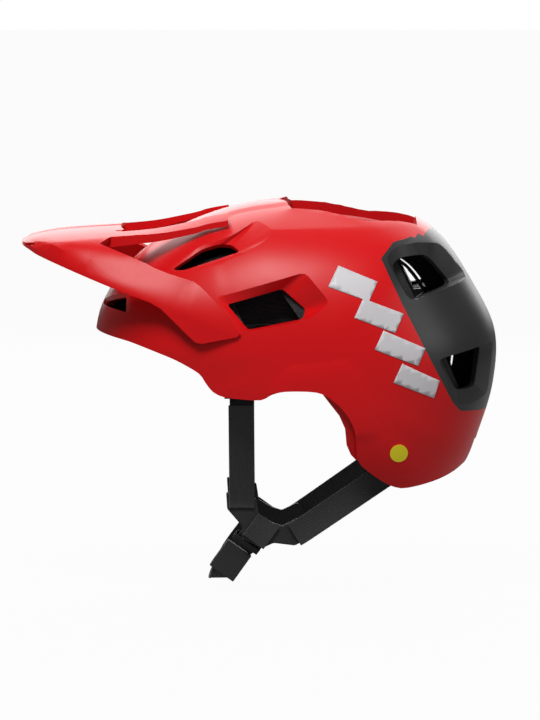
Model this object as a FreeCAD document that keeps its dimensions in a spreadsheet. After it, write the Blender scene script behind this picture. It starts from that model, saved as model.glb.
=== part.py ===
"""Open-face bike helmet with a breakaway peak, as an assembly of separate parts.

Frame: millimetres, +Z up, the front faces -Y, +X is the wearer's left. The origin is the
centre of the head opening, on the ear line, halfway between the ears.

The outer form is one dome: a side profile, drawn in the YZ plane about a centre line
parallel to X, shrinks towards both sides as a superellipse. Every layer of the helmet
(shell, foam, slip liner, pads, fit band) is that dome at its own depth.
"""
import FreeCAD, Part
import Sketcher
import math
import os

from FreeCAD import Placement, Rotation, Vector

doc = FreeCAD.newDocument("helmet")

# ---------------------------------------------------------------- driving dimensions
SIZES = [
    ("half_width", 106.0, "widest point of the shell from the middle plane"),
    ("dome_power", 2.4, "superellipse power of the dome"),
    ("centre_y", 10.0, "centre line of the dome"),
    ("centre_z", 35.0, "centre line of the dome"),
    ("shell_wall", 2.2, "wall of the moulded shells"),
    ("recess_depth", 10.0, "depth of the hollow on top"),
    ("foam_gap", 0.3, "gap between shell and foam"),
    ("foam_depth", 29.0, "depth of the foam's inner face"),
    ("slip_depth", 31.4, "depth of the slip liner's outer face"),
    ("slip_wall", 1.2, "wall of the slip liner"),
    ("pad_depth", 34.8, "depth of the brow and temple pads' outer face"),
    ("crown_pad_depth", 32.9, "depth of the crown pads' outer face"),
    ("pad_wall", 6.0, "thickness of the pads"),
    ("band_depth", 33.2, "depth of the fit band's outer face"),
    ("band_wall", 1.3, "thickness of the fit band"),
    ("brow_pad_wall", 6.5, "thickness of the brow pad"),
    ("arm_lift", 1.4, "gap between the peak's arms and the shell"),
    ("arm_wall", 2.8, "wall of the peak's arms"),
    ("peak_wall", 2.6, "wall of the peak's plate"),
    ("spine_half", 11.0, "half width of the peak's centre spine"),
    ("stud_radius", 4.0, "snap stud that holds an arm of the peak"),
    ("stud_slack", 0.25, "play of a stud in its slot"),
    ("strap_width", 17.0, "webbing width"),
    ("strap_wall", 1.4, "webbing thickness"),
    ("divider_wall", 4.4, "thickness of the strap divider"),
    ("buckle_width", 20.0, "width of the buckle across the strap"),
    ("buckle_wall", 8.0, "thickness of the buckle"),
    ("buckle_length", 22.0, "length of the buckle's receiver"),
    ("prong_wall", 3.2, "thickness of the buckle's tongue"),
    ("cradle_depth", 46.0, "depth of the cradle's outer face"),
    ("cradle_wall", 2.4, "wall of the cradle"),
    ("dial_z", -29.0, "height of the dial's axis"),
    ("dial_radius", 14.0, "dial"),
    ("dial_wall", 8.0, "thickness of the dial"),
    ("housing_width", 50.0, "gear housing"),
    ("housing_height", 27.0, "gear housing"),
    ("housing_depth", 8.0, "gear housing"),
    ("cover_wall", 2.0, "cover of the gear housing"),
    ("gear_pitch", 5.0, "pitch radius of the pinion"),
    ("gear_teeth", 8.0, "teeth of the pinion"),
    ("gear_wall", 3.4, "thickness of the pinion"),
    ("badge_radius", 6.2, "round badge on each side"),
    ("anchor_wall", 6.0, "strap anchor, across the helmet"),
    ("anchor_width", 23.0, "strap anchor, along the webbing's width"),
    ("anchor_height", 11.0, "strap anchor"),
    ("stud_length", 12.6, "snap stud"),
    ("vent_rebate", 13.0, "depth to which the foam stands back about the openings"),
    ("peak_half", 105.0, "half width of the dome that the peak is cut from"),
    ("peak_power", 2.6, "superellipse power of the peak's dome"),
    ("rack_height", 5.0, "height of a rack band"),
    ("rack_wall", 1.8, "thickness of a rack band"),
    ("eye_radius", 1.5, "eye at the end of a rack band"),
    ("shaft_radius", 3.0, "shaft of the dial"),
    ("grip_radius", 1.7, "finger notches of the dial"),
    ("grip_count", 18.0, "finger notches of the dial"),
    ("magnet_radius", 5.0, "magnets of the buckle"),
    ("magnet_wall", 1.8, "magnets of the buckle"),
    ("keeper_length", 5.0, "keeper for the strap's end"),
]
sheet = doc.addObject("Spreadsheet::Sheet", "Sizes")
for row, (alias, value, note) in enumerate(SIZES, start=1):
    sheet.set(f"A{row}", str(value))
    sheet.setAlias(f"A{row}", alias)
    sheet.set(f"B{row}", note)
doc.recompute()


def size(alias):
    """A driving dimension, read from the sheet."""
    return float(sheet.get(alias))


HALF_WIDTH, POWER = size("half_width"), size("dome_power")
CENTRE = Vector(0, size("centre_y"), size("centre_z"))
FAR = 260.0  # longer than the helmet in every direction

# Side profile of the dome, in (y, z): from below the rim up the front and down the back.
PROFILE = [
    (10, -92), (-85, -52), (-130, 28), (-134.5, 57), (-121, 86), (-97, 110),
    (-66, 127), (-28, 138.5), (12, 140.8), (50, 137.5), (84, 129), (106, 115),
    (127, 84), (143, 50), (142, 14), (132, -20), (121, -46), (92, -78),
]
# Lower edge of the helmet on each side, from the front middle to the back middle.
RIM = [
    (-131, 50.5), (-111, 47), (-95.5, 41.9), (-78.9, 36), (-62.2, 27), (-58, 19.7),
    (-53.2, 13.8), (-45.6, 10.4), (-19.5, 8.6), (-12.6, 13.4), (-4.4, 15.5), (12.1, 15.5),
    (22.1, 14.2), (33.6, 5.7), (41.6, -4.8), (45.1, -14.3), (45.7, -26.6), (47, -35.3),
    (53.3, -41.4), (66, -51), (76.4, -55.4), (90.4, -53.2), (104.3, -49.8), (114.9, -45.6),
    (123, -39.7),
]
# Joint between the upper and lower shell, from the brow to the rear cover.
SEAM = [
    (-138, 70), (-102.7, 65), (-62.2, 46.7), (-36, 52.3), (12.1, 62), (24.3, 55.7),
    (33.7, 57.6), (55.1, 65.5), (79, 74.5),
]
# Outline of the black rear cover: along its front edge, then back behind the helmet.
REAR_EDGE = [
    (130, -3), (118, -1.7), (112.7, 4.5), (77.5, 73.9), (62.7, 105.3), (71.3, 115.4),
    (86, 118.5), (105, 123),
]
SIDE_VENT = [(-44.4, 75.4), (-4.7, 86.5), (13.5, 60.7), (-32, 51.8)]
BROW_VENT = [(12, 62.5), (12, 70), (50, 77), (60, 66), (57, 63)]
SCOOP_VENT = [(-83, 97), (-75, 104.5), (-62.4, 111.3), (-51, 115.4), (-39.6, 117), (-33.3, 112.6),
              (-34.4, 109.8), (-39.5, 108), (-74, 96.5)]
TOP_VENT = [(13, 8), (27, 12), (31, 24), (41, 47), (42, 56), (33, 76), (13, 78)]
TOP_RECESS = [
    (-42, 1), (0, -8), (42, 1), (44, 19), (53, 47), (53, 56), (36, 88), (-36, 88), (-53, 56),
    (-53, 47), (-44, 19),
]
REAR_PORT_HIGH = [(74, 101.5), (80.5, 106), (98, 107), (103, 102), (116, 85), (87, 75)]
REAR_PORT_LOW = [(107, 36.5), (139, 45), (131.5, 13.5), (117.6, 12)]
SIDE_RECESS = [(-51.8, 79), (10.1, 96.8), (27.3, 76.5), (12.6, 64.6), (-31, 56)]
SCOOP_RECESS = [(-84.5, 96.5), (-62.8, 112.3), (-42, 119), (-23, 130), (-12, 124.2), (-14.5, 119),
                (-34, 107.2), (-74, 95.2)]
BROW_RECESS = [(9, 61), (9, 72), (52, 79.5), (64, 66.5), (59, 61)]
PORT_RECESS_HIGH = [(66, 105), (73, 113), (88, 115), (104, 113), (124, 88), (82.5, 76)]
PORT_RECESS_LOW = [(102, 36), (141, 44.5), (137, 8), (124, 1.5), (116, 4)]
PORT_SPINE = 14.0  # half width of the upright left between the rear ports

PARTS = []


def keep(shape, label):
    """Adds one sub-part whose shape is ready made."""
    item = doc.addObject("Part::Feature", label)
    item.Label = label
    item.Shape = shape
    PARTS.append(item)
    return item


# ---------------------------------------------------------------- dome and cutting tools
def dome_share(x, depth):
    """How much of the side profile is left at the distance x from the middle."""
    return (1 - (abs(x) / (HALF_WIDTH - depth)) ** POWER) ** (1 / POWER)


def profile_wire(x, depth):
    """The side profile at x, as a closed smooth wire, with the dome taken in by depth."""
    share = dome_share(x, depth)
    points = []
    for y, z in PROFILE:
        out = Vector(0, y, z) - CENTRE
        reach = (out.Length - depth) * share / out.Length
        points.append(Vector(x, CENTRE.y + out.y * reach, CENTRE.z + out.z * reach))
    curve = Part.BSplineCurve()
    curve.interpolate(points, PeriodicFlag=True)
    return Part.Wire([curve.toShape()])


def dome(depth):
    """The whole dome, taken in by depth, as a closed solid."""
    stations = [0.0, 0.32, 0.58, 0.77, 0.89, 0.955, 0.985]
    reach = HALF_WIDTH - depth
    across = [-s * reach for s in reversed(stations[1:])] + [s * reach for s in stations]
    return Part.makeLoft([profile_wire(x, depth) for x in across], True, False)


DOMES = {}


def solid_dome(depth):
    """The dome at one depth, made once."""
    if depth not in DOMES:
        DOMES[depth] = dome(depth)
    return DOMES[depth]


def layer(outer, inner):
    """The closed skin of the dome between two depths."""
    return solid_dome(outer).cut(solid_dome(inner))


def prism(points, axis, low, high):
    """A prism over a polygon. Along x its points are (y, z), along y (x, z), along z (x, y)."""
    place = {
        "x": lambda a, b: Vector(low, a, b),
        "y": lambda a, b: Vector(a, low, b),
        "z": lambda a, b: Vector(a, b, low),
    }[axis]
    way = {"x": Vector(1, 0, 0), "y": Vector(0, 1, 0), "z": Vector(0, 0, 1)}[axis]
    corners = [place(a, b) for a, b in points]
    face = Part.Face(Part.makePolygon(corners + corners[:1]))
    return face.extrude(way * (high - low))


def resized(points, share):
    """An outline grown or shrunk about its middle."""
    mid_a = sum(a for a, _ in points) / len(points)
    mid_b = sum(b for _, b in points) / len(points)
    return [(mid_a + (a - mid_a) * share, mid_b + (b - mid_b) * share) for a, b in points]


def block(low, high):
    """A box between two corners."""
    low, high = Vector(*low), Vector(*high)
    return Part.makeBox(high.x - low.x, high.y - low.y, high.z - low.z, low)


def mirrored(shape):
    """The same shape on the other side of the middle plane."""
    return shape.mirror(Vector(0, 0, 0), Vector(1, 0, 0))


def both(shape):
    """The shape and its mirror image."""
    return shape.fuse(mirrored(shape))


def above_rim(lift):
    """All the space above the helmet's lower edge, raised by lift."""
    line = [(y, z + lift) for y, z in RIM]
    around = [(150, -30), (FAR, -30), (FAR, FAR), (-FAR, FAR), (-FAR, 52 + lift)]
    return prism(line + around, "x", -FAR, FAR)


def rear_region():
    """All the space that the rear cover takes in the side view."""
    return prism(REAR_EDGE + [(FAR, 150), (FAR, -1)], "x", -FAR, FAR)


def above_seam():
    """All the space above the joint between the shells."""
    return prism(SEAM + [(FAR, 100), (FAR, FAR), (-FAR, FAR), (-FAR, 70)], "x", -FAR, FAR)


# ---------------------------------------------------------------- shells and foam
def vents(grow):
    """The ventilation openings on both sides, with their outlines grown or shrunk."""
    cuts = [
        prism(resized(SIDE_VENT, grow), "x", 40, 130),
        prism(resized(SCOOP_VENT, grow), "x", 25, 110),
        prism(resized(BROW_VENT, grow), "y", -150, -60),
        prism(resized(TOP_VENT, grow), "z", 70, 160),
    ]
    tool = cuts[0].multiFuse(cuts[1:])
    return both(tool)


def rear_ports():
    """The four outlets of the rear cover."""
    tool = prism(REAR_PORT_HIGH, "x", PORT_SPINE, 130)
    tool = tool.fuse(prism(REAR_PORT_LOW, "x", PORT_SPINE, 130))
    return both(tool)


def recesses(grow):
    """The wider outlines about the openings, where the foam stands back from the shells."""
    side = prism(resized(SIDE_RECESS, grow), "x", 40, 130)
    scoop = prism(resized(SCOOP_RECESS, grow), "x", 25, 110)
    brow = prism(resized(BROW_RECESS, grow), "y", -150, -60)
    ports = prism(resized(PORT_RECESS_HIGH, grow), "x", PORT_SPINE, 130)
    ports = ports.fuse(prism(resized(PORT_RECESS_LOW, grow), "x", PORT_SPINE, 130))
    return both(side.multiFuse([scoop, brow, ports]))


def build_shells():
    """Upper shell, lower shell, rear cover and the foam liner."""
    wall = size("shell_wall")
    skin = layer(0.0, wall).common(above_rim(0.0))
    skin = skin.cut(vents(1.0))
    stud_hole = Part.makeCylinder(size("stud_radius") + 0.05, 40, Vector(80, *STUD[1:]),
                                  Vector(1, 0, 0))
    skin = skin.cut(both(stud_hole))
    notch = prism([(-24, -25), (24, -25), (30, -70), (-30, -70)], "y", 60, 170)
    rear, upper_space = rear_region(), above_seam()
    recess = prism(TOP_RECESS, "z", 70, 160)
    narrow = prism(resized(TOP_RECESS, 0.955), "z", 70, 160)
    depth = size("recess_depth")
    tub = layer(0.0, depth + wall).common(recess).cut(narrow)
    tub = tub.fuse(layer(depth, depth + wall).common(recess)).cut(vents(1.0))
    upper = skin.cut(rear).common(upper_space).cut(recess).fuse(tub.cut(rear))
    keep(upper.removeSplitter(), "upper_shell")
    keep(skin.cut(rear).cut(upper_space).cut(notch), "lower_shell")
    keep(layer(0.0, wall).common(rear).cut(rear_ports()), "rear_cover")

    foam = layer(wall + size("foam_gap"), size("foam_depth")).common(above_rim(3.0))
    dial_bay = block((-31, 60, -80), (31, 160, 3)).fuse(block((-42, 60, -46), (42, 112, 3)))
    foam = foam.cut(vents(0.82)).cut(rear_ports()).cut(dial_bay)
    foam = foam.cut(recesses(0.98).cut(solid_dome(size("vent_rebate"))))
    tub_room = prism(resized(TOP_RECESS, 1.012), "z", 70, 160)
    foam = foam.cut(tub_room.cut(solid_dome(depth + wall + size("foam_gap"))))
    for x, y, z in FRONT_ANCHOR, REAR_ANCHOR:
        foam = foam.cut(both(anchor_block(x, y, z, 0.2)))
        exit_room = block((x - 4, y - 12, z - 30), (x + 4, y + 12, z))
        foam = foam.cut(both(exit_room))
    foam = foam.cut(both(Part.makeCylinder(4.3, 40, Vector(80, *STUD[1:]), Vector(1, 0, 0))))
    foam = foam.cut(both(layer(4.6, 9.4).common(prism(EAR_TRIM, "x", 40, 130))))
    keep(foam, "foam_liner")


# ---------------------------------------------------------------- places
FRONT_ANCHOR = (82.0, -34.0, 14.0)
REAR_ANCHOR = (64.0, 60.0, -35.5)
HINGE_FRONT = (82.0, -34.0, 3.5)  # where the front webbing hangs, just below its anchor
HINGE_REAR = (64.0, 60.0, -50.0)
STUD = (101.6, -50.0, 61.0)
BADGE = (75.0, -29.0)
DIAL_BACK = 89.8  # front face of the gear housing
RACK_LIFT = 7.4
BUCKLE = (36.0, -41.5, -108.5)
PEAK_PROFILE = [
    (0, -95), (-110, -50), (-188, 62), (-191, 88), (-188.5, 107), (-184, 115), (-165, 120),
    (-140, 122.3), (-103, 125), (-75, 130.8), (-52, 136.8), (-20, 141.8), (12, 144), (60, 141),
    (110, 120), (140, 60), (130, -20), (90, -80),
]
PEAK_BAND = [
    (-195, 112), (-189, 110.5), (-176, 105.5), (-124.7, 86), (-97, 76), (-89.7, 72), (-65.6, 49),
    (-60.9, 48), (-36.7, 52.8), (-34.3, 55.2), (-52.3, 77.7), (-62, 87), (-66.8, 90.3),
    (-82.6, 95), (-99.4, 101), (-119.7, 106.5), (-137.9, 111.5), (-195, 125),
]
PEAK_PLATE = [
    (-110, -205), (110, -205), (110, -138), (74, -138), (57, -124), (42, -118), (-42, -118),
    (-57, -124), (-74, -138), (-110, -138),
]
BAND_LOW = [(-130, 49), (-60, 30), (-20, 17), (40, 14), (75, 5), (130, 5)]
EAR_TRIM = [
    (22.6, 12.4), (26.7, 7.1), (33.7, -2), (37.7, -11.1), (38.8, -22.7), (41.7, -29.6),
    (45.2, -33.6), (49.5, -33), (48.5, -26), (48, -14), (44, -3), (37, 6), (27, 13.5),
]
DIVIDER = [
    (-44.5, -59.4), (-23.7, -63.6), (-21.9, -75.4), (-5.7, -82.9), (5.4, -77.5), (16.5, -89.4),
    (3.4, -96.8), (-11.5, -95), (-19.6, -98.8), (-33.4, -91.9), (-33.4, -83.1), (-43.8, -71.2),
]
DIVIDER_SLOTS = [
    ((-42, -64.5), (-26.2, -67.7)), ((2.0, -82.5), (11, -92)), ((-30.6, -88), (-19.6, -93.6)),
]


def anchor_block(x, y, z, grow):
    """The outside of a strap anchor, grown by a clearance."""
    a, b, c = (size(s) / 2 + grow for s in ("anchor_wall", "anchor_width", "anchor_height"))
    return block((x - a, y - b, z - c), (x + a, y + b, z + c))



# ---------------------------------------------------------------- helpers for bodies
def add_part(kind, label):
    """Adds one sub-part as a document object and names its file after it."""
    item = doc.addObject(kind, label)
    item.Label = label
    PARTS.append(item)
    return item


def bind(item, **formulas):
    """Binds properties of an object to cells of the sheet."""
    for name, formula in formulas.items():
        item.setExpression(name, formula)


def new_sketch(body, name, role="XY_Plane"):
    """A sketch on one of the body's own origin planes."""
    sketch = body.newObject("Sketcher::SketchObject", name)
    plane = next(f for f in body.Origin.OriginFeatures if f.Role == role)
    sketch.AttachmentSupport = [(plane, "")]
    sketch.MapMode = "FlatFace"
    return sketch


def draw_box(sketch, width, height, across=0.0, up=0.0):
    """A rectangle whose width and height are formulas, centred at (across, up)."""
    corners = [(-1, -1), (1, -1), (1, 1), (-1, 1)]
    points = [Vector(across + 5 * a, up + 5 * b, 0) for a, b in corners]
    first = sketch.GeometryCount
    for k in range(4):
        sketch.addGeometry(Part.LineSegment(points[k], points[(k + 1) % 4]), False)
    for k in range(4):
        after = first + (k + 1) % 4
        sketch.addConstraint(Sketcher.Constraint("Coincident", first + k, 2, after, 1))
        kind = "Horizontal" if k % 2 == 0 else "Vertical"
        sketch.addConstraint(Sketcher.Constraint(kind, first + k))
    for side, formula in ((0, width), (1, height)):
        number = sketch.addConstraint(Sketcher.Constraint("Distance", first + side, 10.0))
        sketch.setExpression(f"Constraints[{number}]", formula)
    for kind, middle, formula in (("DistanceX", across, width), ("DistanceY", up, height)):
        number = sketch.addConstraint(Sketcher.Constraint(kind, -1, 1, first + 1, 2, 10.0))
        sketch.setExpression(f"Constraints[{number}]", f"{middle} + ({formula}) / 2")


def draw_circle(sketch, radius, across=0.0, up=0.0):
    """A circle whose radius is a formula."""
    number = sketch.addGeometry(Part.Circle(Vector(across, up, 0), Vector(0, 0, 1), 1.0), False)
    for kind, value in (("DistanceX", across), ("DistanceY", up)):
        sketch.addConstraint(Sketcher.Constraint(kind, -1, 1, number, 3, value))
    rule = sketch.addConstraint(Sketcher.Constraint("Radius", number, 1.0))
    sketch.setExpression(f"Constraints[{rule}]", radius)


def draw_polygon(sketch, points):
    """A closed outline through fixed points."""
    first = sketch.GeometryCount
    corners = [Vector(a, b, 0) for a, b in points]
    count = len(corners)
    for k in range(count):
        sketch.addGeometry(Part.LineSegment(corners[k], corners[(k + 1) % count]), False)
    for k in range(count):
        after = first + (k + 1) % count
        sketch.addConstraint(Sketcher.Constraint("Coincident", first + k, 2, after, 1))


def pad(body, sketch, name, length):
    """Pads a sketch towards the plane's normal."""
    feature = body.newObject("PartDesign::Pad", name)
    feature.Profile = sketch
    bind(feature, Length=length)
    return feature


def pocket(body, sketch, name, length=None):
    """Pockets a sketch into the pad that stands on the same plane."""
    doc.recompute()
    before = body.Shape.Volume
    feature = body.newObject("PartDesign::Pocket", name)
    feature.Profile = sketch
    feature.Reversed = True
    if length is None:
        feature.Type = "ThroughAll"
    else:
        bind(feature, Length=length)
    doc.recompute()
    if body.Shape.Volume > before - 0.01:
        raise RuntimeError(f"{body.Label}: {name} cuts nothing")
    return feature


def frame_at(origin, across, up):
    """A placement whose local x and y point along two directions."""
    x_way = Vector(*across).normalize()
    z_way = x_way.cross(Vector(*up)).normalize()
    return Placement(Vector(*origin), Rotation(x_way, z_way.cross(x_way), z_way, "ZXY"))


# ---------------------------------------------------------------- strap anchors
def build_anchors():
    """Four plastic loops moulded into the foam, with a slot for the webbing."""
    for name, spot in (("front", FRONT_ANCHOR), ("rear", REAR_ANCHOR)):
        for side, sign in (("left", 1), ("right", -1)):
            outer = doc.addObject("Part::Box", f"{name}_loop_{side}")
            bind(outer, Length="Sizes.anchor_wall", Width="Sizes.anchor_width",
                 Height="Sizes.anchor_height")
            slot = doc.addObject("Part::Box", f"{name}_slot_{side}")
            bind(slot, Length="Sizes.strap_wall + 0.6", Width="Sizes.strap_width + 0.6",
                 Height="Sizes.anchor_height - 3")
            middle = Vector(sign * spot[0], spot[1], spot[2])
            for box in (outer, slot):
                doc.recompute()
                box.Placement.Base = middle - Vector(
                    box.Length.Value / 2, box.Width.Value / 2, size("anchor_height") / 2)
            anchor = add_part("Part::Cut", f"{name}_strap_anchor_{side}")
            anchor.Base, anchor.Tool = outer, slot


# ---------------------------------------------------------------- ear trim and badges
def build_trims():
    """The soft lip along each ear opening and a plain round badge on each side."""
    lip = prism(EAR_TRIM, "x", 40, 130)
    trim = layer(5.0, 9.0).common(lip)
    keep(trim, "ear_trim_left")
    keep(mirrored(trim), "ear_trim_right")
    spot = Vector(70, *BADGE)
    disc = Part.makeCylinder(size("badge_radius"), 40, spot, Vector(1, 0, 0))
    badge = disc.common(layer(-0.9, 0.0))
    keep(badge, "badge_left")
    keep(mirrored(badge), "badge_right")


# ---------------------------------------------------------------- peak
def peak_dome(depth):
    """The wider dome that the peak is cut from."""
    points = PEAK_PROFILE
    reach = size("peak_half") - depth
    power = size("peak_power")
    wires = []
    stations = [0.0, 0.32, 0.58, 0.77, 0.89, 0.955, 0.985]
    for x in [-s * reach for s in reversed(stations[1:])] + [s * reach for s in stations]:
        share = (1 - (abs(x) / reach) ** power) ** (1 / power)
        ring = []
        for y, z in points:
            out = Vector(0, y, z) - CENTRE
            out = out * ((out.Length - depth) * share / out.Length)
            ring.append(Vector(x, CENTRE.y + out.y, CENTRE.z + out.z))
        curve = Part.BSplineCurve()
        curve.interpolate(ring, PeriodicFlag=True)
        wires.append(Part.Wire([curve.toShape()]))
    return Part.makeLoft(wires, True, False)


def build_peak():
    """The peak: a plate in front, two arms along the sides and two legs over the top."""
    skin = peak_dome(0.0).cut(peak_dome(size("peak_wall")))
    band = prism(PEAK_BAND, "x", -FAR, FAR)
    plate = prism(PEAK_PLATE, "z", 106, 150)
    legs = both(block((41, -130, 90), (56, -43, 150)))
    skin = skin.common(band.multiFuse([plate, legs]))
    skin = skin.cut(solid_dome(-0.8))
    slot_radius = size("stud_radius") + size("stud_slack")
    x, y, z = STUD
    slot = Part.makeCylinder(slot_radius, 40, Vector(x - 20, y, z), Vector(1, 0, 0))
    slot = slot.fuse(block((x - 20, y, z - slot_radius), (x + 20, y + 60, z + slot_radius)))
    skin = skin.cut(both(slot))
    solids = sorted(skin.Solids, key=lambda s: s.Volume)
    keep(solids[-1], "peak")
    for side, sign in (("left", 1), ("right", -1)):
        stud = add_part("Part::Cylinder", f"peak_stud_{side}")
        bind(stud, Radius="Sizes.stud_radius", Height="Sizes.stud_length")
        stud.Placement = Placement(Vector(sign * (x - size("stud_length")), y, z),
                                   Rotation(Vector(0, 1, 0), 90 * sign))


# ---------------------------------------------------------------- slip liner and pads
def build_liner():
    """The slip liner, the comfort pads and the front of the fit band."""
    start = size("slip_depth")
    slip = layer(start, start + size("slip_wall")).common(above_band(0))
    bay = block((-34, 60, -80), (34, 160, 12))
    keep(slip.cut(vents(1.12)).cut(bay).cut(rear_ports()), "slip_liner")

    band = layer(size("band_depth"), size("band_depth") + size("band_wall"))
    strip = prism(BAND_LOW + [(a, b + 9) for a, b in reversed(BAND_LOW)], "x", -FAR, FAR)
    keep(band.common(strip).cut(block((-FAR, 72, -FAR), (FAR, FAR, FAR))), "fit_band")

    low = size("pad_depth")
    skin = layer(low, low + size("pad_wall"))
    brow = prism([(-140, 50), (-52, 29), (-52, 50), (-140, 72)], "x", -FAR, FAR)
    keep(skin.common(brow), "brow_pad")
    low = size("crown_pad_depth")
    skin_above = layer(low, low + size("pad_wall"))
    crown = prism([(-9, -52), (9, -52), (9, 74), (-9, 74)], "z", 60, 160)
    keep(skin_above.common(crown), "crown_pad_middle")
    side = prism([(-40, 56), (14, 58), (30, 80), (30, 94), (-40, 94), (-46, 80)], "x", 20, 130)
    keep(skin_above.common(side), "crown_pad_left")
    keep(mirrored(skin_above.common(side)), "crown_pad_right")
    temple = prism([(-30, 26), (44, 24), (40, 44), (-24, 46)], "x", 20, 130)
    keep(skin.common(temple), "temple_pad_left")
    keep(mirrored(skin.common(temple)), "temple_pad_right")


def above_band(lift):
    """All the space above the lower edge of the slip liner."""
    line = [(a, b + lift) for a, b in BAND_LOW]
    return prism(line + [(FAR, 5 + lift), (FAR, FAR), (-FAR, FAR), (-FAR, 49 + lift)],
                 "x", -FAR, FAR)


# ---------------------------------------------------------------- rear fit system
def build_cradle():
    """The height rail, the cradle that slides on it, and its pad."""
    depth, wall = size("cradle_depth"), size("cradle_wall")
    rail = layer(depth - 6.4, depth - wall - 1.2).common(block((-10, 50, -4), (10, 160, 40)))
    post = layer(size("slip_depth") + size("slip_wall"), depth - 6.4)
    post = post.common(block((-10, 50, 26), (10, 160, 40)))
    keep(rail.fuse(post), "height_rail")

    skin = layer(depth - wall, depth)
    tongue = block((-8, 50, -20), (8, 160, 20))
    wings = prism([(-62, -8), (-20, -14), (20, -14), (62, -8), (64, -30), (40, -46),
                   (0, -50), (-40, -46), (-64, -30)], "y", 52, 160)
    keep(skin.common(tongue.fuse(wings)), "cradle")
    pad_skin = layer(depth + 0.3, depth + 4.3)
    keep(pad_skin.common(prism([(-44, -18), (44, -18), (40, -42), (-40, -42)], "y", 60, 160)),
         "cradle_pad")


def build_gearbox():
    """The gear housing, its cover, the dial with its pinion, and the two rack bands."""
    y, z = DIAL_BACK, size("dial_z")
    facing = frame_at((0, y, z), (-1, 0, 0), (0, 0, 1))  # local z points to the back

    base = add_part("PartDesign::Body", "gear_housing")
    frame = new_sketch(base, "HousingOutline")
    draw_box(frame, "Sizes.housing_width", "Sizes.housing_height")
    pad(base, frame, "HousingBlock", "Sizes.housing_depth")
    inside = new_sketch(base, "HousingInside")
    inside.AttachmentOffset = Placement(Vector(0, 0, 2), Rotation())
    draw_box(inside, "Sizes.housing_width - 4", "Sizes.housing_height - 4")
    pocket(base, inside, "HousingRoom")
    mouths = new_sketch(base, "RackMouths")
    mouths.AttachmentOffset = Placement(Vector(0, 0, 2.0), Rotation())
    draw_box(mouths, "Sizes.housing_width + 2", "Sizes.rack_height + 0.6", 0.0, RACK_LIFT)
    draw_box(mouths, "Sizes.housing_width + 2", "Sizes.rack_height + 0.6", 0.0, -RACK_LIFT)
    pocket(base, mouths, "RackMouthCut", "Sizes.rack_wall + 0.6")
    base.Placement = facing

    cover = add_part("PartDesign::Body", "gear_cover")
    plate = new_sketch(cover, "CoverOutline")
    draw_box(plate, "Sizes.housing_width", "Sizes.housing_height")
    draw_circle(plate, "Sizes.shaft_radius + 0.06")
    pad(cover, plate, "CoverPlate", "Sizes.cover_wall")
    cover.Placement = facing.multiply(Placement(Vector(0, 0, size("housing_depth")), Rotation()))

    dial = add_part("PartDesign::Body", "dial")
    disc = new_sketch(dial, "DialOutline")
    draw_circle(disc, "Sizes.dial_radius")
    pad(dial, disc, "DialDisc", "Sizes.dial_wall")
    grip = new_sketch(dial, "GripNotch")
    draw_circle(grip, "Sizes.grip_radius", size("dial_radius") + 0.8, 0.0)
    notch = pocket(dial, grip, "GripCut")
    ring = dial.newObject("PartDesign::PolarPattern", "GripRing")
    ring.Originals = [notch]
    axis = next(f for f in dial.Origin.OriginFeatures if f.Role == "Z_Axis")
    ring.Axis = (axis, [""])
    ring.Angle = 360
    bind(ring, Occurrences="Sizes.grip_count")
    dial.Tip = ring
    start = size("housing_depth") + size("cover_wall") + 0.4
    dial.Placement = facing.multiply(Placement(Vector(0, 0, start), Rotation()))

    pinion = add_part("PartDesign::Body", "pinion")
    teeth = new_sketch(pinion, "PinionOutline")
    count = int(size("gear_teeth"))
    tips = []
    for k in range(2 * count):
        radius = size("gear_pitch") - (0.5 if k % 2 == 0 else 1.9)
        for turn in (-0.3, 0.3):
            angle = math.pi * (k + turn) / count
            tips.append((radius * math.cos(angle), radius * math.sin(angle)))
    draw_polygon(teeth, tips)
    pad(pinion, teeth, "PinionTeeth", "Sizes.gear_wall")
    shaft = new_sketch(pinion, "ShaftOutline")
    draw_circle(shaft, "Sizes.shaft_radius")
    pad(pinion, shaft, "Shaft", f"Sizes.housing_depth + Sizes.cover_wall - 2.4 + 0.4")
    pinion.Placement = facing.multiply(Placement(Vector(0, 0, 2.4), Rotation()))

    for side, sign in (("left", -1), ("right", 1)):
        rack = add_part("PartDesign::Body", f"rack_band_{side}")
        outline = new_sketch(rack, f"RackOutline_{side}")
        pitch = 2 * math.pi * size("gear_pitch") / count
        half = size("rack_height") / 2
        line = [(-10.0, half), (-10.0, -half)]
        for k in range(7):
            foot = pitch / 2 - 1.4 + (k - 2) * pitch
            line += [(foot, -half), (foot + 0.9, -half - 1.2), (foot + 1.9, -half - 1.2),
                     (foot + 2.8, -half)]
        line += [(36.0, -half), (36.0, half)]
        draw_polygon(outline, line)
        pad(rack, outline, f"RackStrip_{side}", "Sizes.rack_wall")
        eye = new_sketch(rack, f"RackEye_{side}")
        draw_circle(eye, "Sizes.eye_radius", 31.5, 0.4)
        pocket(rack, eye, f"RackEyeCut_{side}")
        turn = Rotation(Vector(0, 0, 1), 0 if sign > 0 else 180)
        lift = Vector(0, sign * RACK_LIFT, 2.3)
        rack.Placement = facing.multiply(Placement(lift, turn))


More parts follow.
